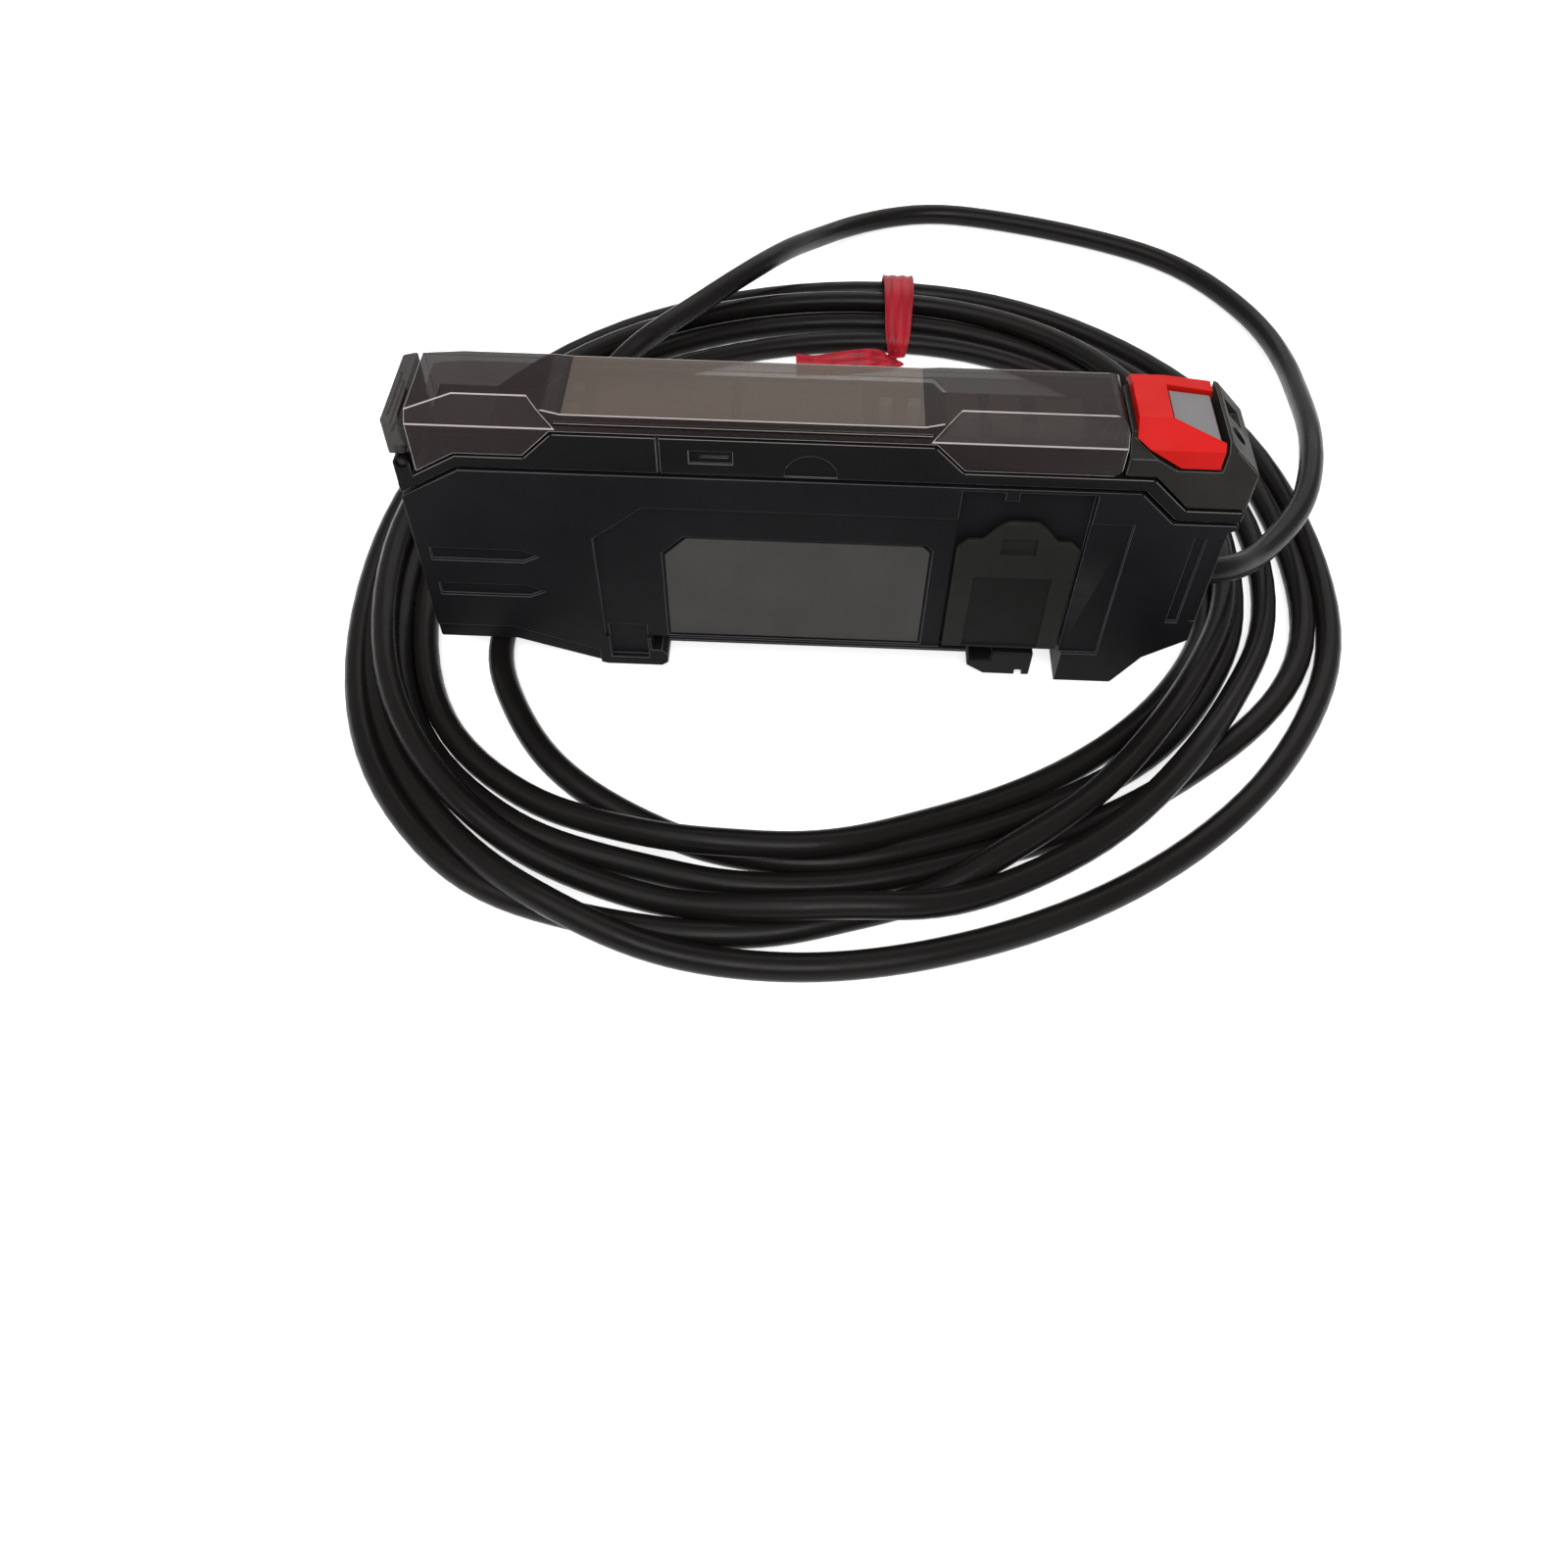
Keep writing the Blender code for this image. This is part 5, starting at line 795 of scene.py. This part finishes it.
@dataclass
class RibbonTie:
    """Flat red ribbon round the bundle of turns, its tail on the floor inside the ring."""

    thickness: float = 0.16 * MM
    width: float = 4.0 * MM
    crease: float = 0.2 * MM
    folds: int = 3
    lanes: int = 12
    loop_steps: int = 3
    tail_steps: int = 4
    x: float = 10.0
    loop: tuple[tuple[float, float, float], ...] = (
        # y, height and share of the width, from under the bundle round its outside and over it
        (60.0, 0.1, 0.95), (63.5, 0.1, 0.97), (66.8, 0.15, 1.0), (67.5, 0.75, 1.0),
        (67.75, 1.6, 1.0), (67.4, 2.4, 1.0), (66.5, 3.3, 1.0), (64.8, 4.5, 1.0), (62.8, 5.5, 1.0),
        (60.8, 5.9, 1.0), (58.8, 5.8, 0.98), (57.0, 5.1, 0.94), (55.4, 4.2, 0.9),
        (54.0, 3.3, 0.86), (52.9, 2.6, 0.8), (52.3, 1.8, 0.7), (52.1, 0.9, 0.6), (51.9, 0.4, 0.55))
    tail: tuple[tuple[float, float, float, float], ...] = (
        # place and the ribbon's turn about its length, in degrees
        (9.9, 51.6, 0.35, 0), (9.0, 50.6, 0.9, 12), (7.2, 50.0, 1.25, 30), (4.6, 49.6, 1.15, 42),
        (1.8, 49.3, 0.95, 30), (-1.0, 49.1, 0.8, 15), (-3.4, 48.9, 0.9, 28))
    tail_share: float = 0.8

    def rows(self) -> list[tuple[Vector, Vector]]:
        """Middle of the ribbon and half its width at each row.

        Returns:
            Pairs of a point and a vector across, in metres.
        """
        half = self.width / 2
        middles = catmull([Vector((self.x, y, z)) * MM for y, z, _ in self.loop], self.loop_steps)
        shares = catmull([Vector((share, 0, 0)) for _, _, share in self.loop], self.loop_steps)
        rows = [(point, Vector((half * share.x, 0, 0))) for point, share in zip(middles, shares)]
        places = catmull([Vector(row[:3]) * MM for row in self.tail], self.tail_steps)
        turns = catmull([Vector((row[3], 0, 0)) for row in self.tail], self.tail_steps)
        for number, (point, turn) in enumerate(zip(places, turns)):
            ahead = places[min(number + 1, len(places) - 1)] - places[max(number - 1, 0)]
            flat = Vector((-ahead.y, ahead.x, 0)).normalized()
            angle = math.radians(turn.x)
            across = flat * math.cos(angle) - Vector((0, 0, math.sin(angle)))
            rows.append((point, -across * half * self.tail_share))
        return rows

    def build(self) -> bpy.types.Object:
        """Model the ribbon from a grid laid along its rows.

        Returns:
            The ribbon.
        """
        rows = self.rows()
        deselect()
        last = len(rows) - 1
        bpy.ops.mesh.primitive_grid_add(x_subdivisions=self.lanes, y_subdivisions=last, size=1)
        tie = bpy.context.object
        tie.name = "cable_tie_ribbon"
        for vertex in tie.data.vertices:
            row = min(round((vertex.co.y + 0.5) * last), last)
            middle, across = rows[row]
            before, after = rows[max(row - 1, 0)][0], rows[min(row + 1, last)][0]
            outward = across.cross(after - before).normalized()
            wave = math.cos(vertex.co.x * self.folds * WHOLE_TURN)
            fold = wave * self.crease * across.length / self.width
            vertex.co = middle + across * 2 * vertex.co.x + outward * fold
            vertex.co.z = max(vertex.co.z, self.thickness / 2)
        wall = tie.modifiers.new("wall", "SOLIDIFY")
        wall.thickness = self.thickness
        wall.offset = 0
        soft = tie.modifiers.new("soft", "SUBSURF")
        soft.levels = soft.render_levels = 1
        apply_modifiers(tie)
        settle(tie)
        bpy.ops.object.mode_set(mode="EDIT")
        bpy.ops.mesh.select_all(action="SELECT")
        bpy.ops.mesh.normals_make_consistent(inside=False)
        bpy.ops.object.mode_set(mode="OBJECT")
        bpy.ops.object.shade_smooth()
        fit(tie, Finish.TIE, BODY, "cable_tie")
        return tie


# ---------------------------------------------------------------- mouldings


@dataclass
class Mouldings:
    """Opaque parts that keep their CAD shape, with finely broken edges, painted lighter on the
    case and the end block as a painted highlight, and the four cores.
    """

    edge: float = 0.05 * MM
    parts: tuple[tuple[str, Finish], ...] = (
        ("lower_case", Finish.CASE), ("end_block", Finish.END), ("red_frame", Finish.RED),
        ("frame_badge", Finish.BADGE), ("rating_plate", Finish.PLATE),
        ("fibre_holder", Finish.HOLDER), ("fibre_bush_upper", Finish.BUSH),
        ("fibre_bush_lower", Finish.BUSH), ("fibre_clamp", Finish.CLAMP),
        ("emitter_led", Finish.EMITTER), ("receiver_diode", Finish.RECEIVER),
        ("main_board", Finish.BOARD), ("display_board", Finish.BOARD),
        ("display_left", Finish.DIGITS_RED), ("display_right", Finish.DIGITS_GREEN),
        ("output_lamp", Finish.LAMP_ORANGE), ("power_lamp", Finish.LAMP_GREEN),
        ("set_button", Finish.KEY_YELLOW), ("mode_button", Finish.KEY_YELLOW),
        ("preset_button", Finish.KEY_GREY), ("adjust_rocker", Finish.KEY_YELLOW),
        ("output_switch", Finish.SWITCH), ("channel_switch", Finish.SWITCH),
        ("din_latch", Finish.LATCH), ("expansion_socket", Finish.SOCKET),
        ("cable_gland", Finish.GLAND))
    cores: tuple[tuple[str, Finish], ...] = (
        ("cable_core_1", Finish.CORE_BROWN), ("cable_core_2", Finish.CORE_BLUE),
        ("cable_core_3", Finish.CORE_BLACK), ("cable_core_4", Finish.CORE_WHITE))
    thin: tuple[str, ...] = ("rating_plate", "frame_badge", "expansion_socket", "main_board")
    crisp: tuple[str, ...] = ("end_block", "red_frame", "frame_badge")
    panel_area: float = 50 * MM ** 2
    panel_top: float = 12 * MM
    panel_shade_slot: int = 1
    # lighter edge finishes on the bevels: painted highlights on the case and the end block
    edges: dict[str, Finish] = field(default_factory=lambda: {
        "lower_case": Finish.CASE_EDGE_HIGHLIGHT, "end_block": Finish.END_EDGE_HIGHLIGHT})

    def cap(self) -> None:
        """Finish the connector cap, its sunk panel painted darker than the rest as painted shade.
        """
        cap = smoothed("connector_cap", self.edge, (Finish.CAP, Finish.CAP_PANEL_SHADE, Finish.CAP))
        # large low faces that face forward form the sunk panel and take the painted shade
        for face in cap.data.polygons:
            ahead = face.normal.y < -FACING and face.area > self.panel_area
            if ahead and face.center.z < self.panel_top:
                face.material_index = self.panel_shade_slot
        fit(cap, Finish.CAP, body_of("connector_cap"), "connector_cap")

    def build(self) -> None:
        """Smooth and finish every moulding."""
        self.cap()
        for node, finish in self.parts:
            edge = self.edge / 2 if node in self.thin else self.edge
            finishes = (finish, self.edges[node]) if node in self.edges else ()
            piece = smoothed(node, edge, finishes,
                             CRISP_BELOW if node in self.crisp else ROUND_BELOW)
            fit(piece, finish, body_of(node), node)
        for node, finish in self.cores:
            dress(frame["nodes"][node], finish)


@dataclass
class CoverParts:
    """Bezel with edge lines painted lighter as painted highlights, and the smoked cover and lever
    over it.
    """

    edge: float = 0.08 * MM
    bezel_edge: float = 0.04 * MM
    lever_shortest: float = 3.0 * MM
    look_out: float = 0.3 * MM
    flange_highlight_slot: int = 1
    bevel_highlight_slot: int = 2
    inside_slot: int = 1
    window_sheen_slot: int = 2
    window_area: float = 150 * MM ** 2
    # height band in which the bezel's bevels get the flange's painted highlight
    flange: tuple[float, float] = (30.0 * MM, 31.4 * MM)

    def bezel(self) -> None:
        """Finish the bezel with painted highlights on its edges, brighter on its flange than on
        its other edges.
        """
        bezel = smoothed("upper_bezel", self.bezel_edge,
                         (Finish.BEZEL, Finish.FLANGE_HIGHLIGHT, Finish.BEZEL_EDGE_HIGHLIGHT))
        low, high = self.flange
        for face in bezel.data.polygons:
            if face.material_index == self.bevel_highlight_slot and low < face.center.z < high:
                face.material_index = self.flange_highlight_slot
        fit(bezel, Finish.BEZEL, body_of("upper_bezel"), "upper_bezel")

    def smoked(self, node: str, finish: Finish) -> None:
        """Finish a see-through moulding: tinted outside, dark inside, with a painted sheen on its
        large top faces and a painted highlight on its edges.

        Args:
            node: the CAD node.
            finish: finish of its outside.
        """
        piece = smoothed(
            node, self.edge,
            (finish, Finish.SMOKE_INSIDE, Finish.SMOKE_WINDOW_SHEEN, Finish.SMOKE_EDGE_HIGHLIGHT), CRISP_BELOW)
        mesh = piece.data
        shell = BVHTree.FromPolygons([vertex.co for vertex in mesh.vertices],
                                     [face.vertices[:] for face in mesh.polygons])
        for face in mesh.polygons:
            start = face.center + face.normal * self.look_out
            if shell.ray_cast(start, Vector((0, 0, 1)))[0]:
                face.material_index = self.inside_slot
            # large faces that look up take the lighter smoke: painted sheen on the top
            elif face.normal.z > FACING and face.area > self.window_area:
                face.material_index = self.window_sheen_slot
        fit(piece, finish, body_of(node), node)

    def build(self) -> None:
        """Finish the three mouldings."""
        self.bezel()
        self.smoked("dust_cover", Finish.SMOKE)
        lever = smoothed("lock_lever", self.edge, angle=CRISP_BELOW, shortest=self.lever_shortest)
        fit(lever, Finish.SMOKE_LEVER, body_of("lock_lever"), "lock_lever")


# ---------------------------------------------------------------- small parts


@dataclass
class DigitBars:
    """Unlit seven-segment figures in the face of a display."""

    node: str
    finish: Finish
    slot: str
    figures: int = 4
    size: tuple[float, float] = (1.5 * MM, 2.9 * MM)
    bar: tuple[float, float] = (0.3 * MM, 0.1 * MM)
    tip: float = 0.4
    gap: float = 0.5
    margin: float = 0.4
    slant: float = 0.1

    def bar_at(self, place: Vector, length: float, upright: bool) -> bpy.types.Object:
        """One bar with pointed ends.

        Args:
            place: its middle.
            length: its length.
            upright: whether it runs along y.

        Returns:
            The bar.
        """
        deselect()
        bpy.ops.mesh.primitive_cube_add(size=1, location=place)
        bar = bpy.context.object
        wide, deep = self.bar
        bar.scale = (wide, length, deep) if upright else (length, wide, deep)
        settle(bar)
        points = bar.modifiers.new("points", "BEVEL")
        points.width = wide * self.tip
        points.limit_method = "NONE"
        apply_modifiers(bar)
        return bar

    def build(self) -> bpy.types.Object:
        """Model one figure, copy it along the display and join all.

        Returns:
            The piece with every figure.
        """
        low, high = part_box(self.node)
        wide, tall = self.size
        half, gap = tall / 2, self.gap * self.bar[0]
        top = Vector(((low[0] + high[0]) / 2, (low[1] + high[1]) / 2, high[2]))
        bars = [self.bar_at(top + Vector((0, y, 0)), wide - gap, False) for y in (-half, 0, half)]
        bars += [self.bar_at(top + Vector((x * wide / 2, y * half / 2, 0)), half - gap, True)
                 for x in (-1, 1) for y in (-1, 1)]
        figure = self.joined(bars)
        for vertex in figure.data.vertices:
            vertex.co.x += (vertex.co.y - top.y) * self.slant
        pitch = (high[0] - low[0]) / (self.figures + self.margin)
        row = []
        for number in range(self.figures):
            copy = bpy.data.objects.new(figure.name, figure.data.copy())
            bpy.context.scene.collection.objects.link(copy)
            copy.location.x = (number - (self.figures - 1) / 2) * pitch
            row.append(copy)
        bpy.data.objects.remove(figure)
        bars = self.joined(row)
        settle(bars)
        bars.name = f"{self.node}_bars"
        fit(bars, self.finish, body_of(self.node), slot=self.slot)
        return bars

    def joined(self, pieces: Sequence[bpy.types.Object]) -> bpy.types.Object:
        """Join objects into the first.

        Args:
            pieces: the objects.

        Returns:
            The joined object.
        """
        take(pieces[0])
        for piece in pieces:
            piece.select_set(True)
        bpy.ops.object.join()
        return bpy.context.object


@dataclass
class MouthLip:
    """Rounded lip round the mouth of a fibre bush."""

    node: str
    bore: float = 1.35 * MM
    bead: float = 0.22 * MM
    segments: tuple[int, int] = (48, 10)

    def build(self) -> bpy.types.Object:
        """Turn the lip round the bush's axis.

        Returns:
            The lip.
        """
        low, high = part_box(self.node)
        around, across = self.segments
        deselect()
        bpy.ops.mesh.primitive_torus_add(
            major_radius=self.bore, minor_radius=self.bead,
            major_segments=around, minor_segments=across,
            location=(low[0], (low[1] + high[1]) / 2, (low[2] + high[2]) / 2),
            rotation=(0, math.pi / 2, 0))
        lip = bpy.context.object
        lip.name = f"{self.node}_lip"
        settle(lip)
        bpy.ops.object.shade_smooth()
        fit(lip, Finish.BUSH, body_of(self.node))
        return lip


# ---------------------------------------------------------------- studio


@dataclass
class Studio:
    """Pale floor, soft lamps and the camera."""

    position: Point = (-0.92 * MM, -97.28 * MM, 102.01 * MM)
    right: Point = (0.99920, 0.03753, 0.01400)
    up: Point = (-0.03838, 0.79690, 0.60295)
    back: Point = (0.01147, -0.60300, 0.79770)
    lens: float = 29.25
    sensor: float = 36.0
    nearest: float = 0.01
    floor_size: float = 3.0
    floor_lift: float = 0.72
    ambient: float = 0.4
    lamps: tuple[tuple[str, Point, float, float, Point], ...] = (
        # name, place, side length, power and the point that it faces
        ("key_light", (-0.25, -0.2, 0.6), 0.5, 1.6, (0, 0, 0.01)),
        ("front_light", (0.05, -0.42, 0.5), 0.3, 1.6, (0, 0, 0.01)),
        ("back_light", (0.15, 0.5, 0.45), 0.6, 1.2, (0, 0, 0.02)))

    def floor(self) -> None:
        """Lay the floor, white to the eye and to reflections, with the object's shadow on it."""
        deselect()
        bpy.ops.mesh.primitive_plane_add(size=self.floor_size, location=(0, 0, 0))
        floor = bpy.context.object
        floor.name = "floor"
        settle(floor)
        graph = Graph("floor_white")
        graph.set(base_color=(0.8, 0.8, 0.8, 1), roughness=0.9)
        nodes = graph.tree.nodes
        path = nodes.new("ShaderNodeLightPath")
        seen = path.outputs["Is Camera Ray"]
        for ray in ("Is Glossy Ray", "Is Transmission Ray"):
            either = nodes.new("ShaderNodeMath")
            either.operation = "MAXIMUM"
            graph.link(seen, either.inputs[0])
            graph.link(path.outputs[ray], either.inputs[1])
            seen = either.outputs[0]
        lift = nodes.new("ShaderNodeMath")
        lift.operation = "MULTIPLY"
        lift.inputs[1].default_value = self.floor_lift
        graph.link(seen, lift.inputs[0])
        white = nodes.new("ShaderNodeEmission")
        graph.link(lift.outputs[0], white.inputs["Strength"])
        added = nodes.new("ShaderNodeAddShader")
        graph.link(graph.shader.outputs[0], added.inputs[0])
        graph.link(white.outputs[0], added.inputs[1])
        graph.link(added.outputs[0], graph.output.inputs["Surface"])
        floor.data.materials.append(graph.material)

    def world(self) -> None:
        """Pale backdrop that lights the object less than it shows."""
        world = bpy.data.worlds.new("studio")
        bpy.context.scene.world = world
        world.use_nodes = True
        tree = world.node_tree
        ground = tree.nodes["Background"]
        ground.inputs["Color"].default_value = (1, 1, 1, 1)
        path = tree.nodes.new("ShaderNodeLightPath")
        lift = tree.nodes.new("ShaderNodeMapRange")
        lift.inputs["To Min"].default_value = self.ambient
        tree.links.new(path.outputs["Is Camera Ray"], lift.inputs["Value"])
        tree.links.new(lift.outputs[0], ground.inputs["Strength"])

    def lamp(self, name: str, place: Point, size: float, watts: float, aim: Point) -> None:
        """Hang one square soft lamp.

        Args:
            name: the lamp's name.
            place: its place.
            size: its side length.
            watts: its power.
            aim: the point that it faces.
        """
        light = bpy.data.lights.new(name, "AREA")
        light.energy = watts
        light.size = size
        lamp = bpy.data.objects.new(name, light)
        bpy.context.scene.collection.objects.link(lamp)
        lamp.location = place
        lamp.rotation_euler = (Vector(aim) - Vector(place)).to_track_quat("-Z", "Y").to_euler()

    def camera(self) -> None:
        """Set the camera where the photograph was taken from."""
        data = bpy.data.cameras.new("camera")
        data.lens = self.lens
        data.sensor_width = self.sensor
        data.clip_start = self.nearest
        camera = bpy.data.objects.new("camera", data)
        bpy.context.scene.collection.objects.link(camera)
        turn = Matrix((self.right, self.up, self.back)).transposed().to_quaternion()
        camera.matrix_world = Matrix.LocRotScale(Vector(self.position), turn, None)
        bpy.context.scene.camera = camera

    def build(self) -> None:
        """Set up the whole studio."""
        self.floor()
        self.world()
        for lamp in self.lamps:
            self.lamp(*lamp)
        self.camera()
        bpy.context.scene.view_settings.view_transform = "Standard"


def main() -> None:
    """Dress the whole object in order."""
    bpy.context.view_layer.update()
    Studio().build()
    CableRun().build()
    RibbonTie().build()
    Mouldings().build()
    CoverParts().build()
    DigitBars("display_left", Finish.BARS_RED, "display_red").build()
    DigitBars("display_right", Finish.BARS_GREEN, "display_green").build()
    for node in ("fibre_bush_upper", "fibre_bush_lower"):
        MouthLip(node).build()
    deselect()
    log.info("size written")


if __name__ == "__main__":
    logging.basicConfig(level=logging.INFO, format="%(message)s")
    main()
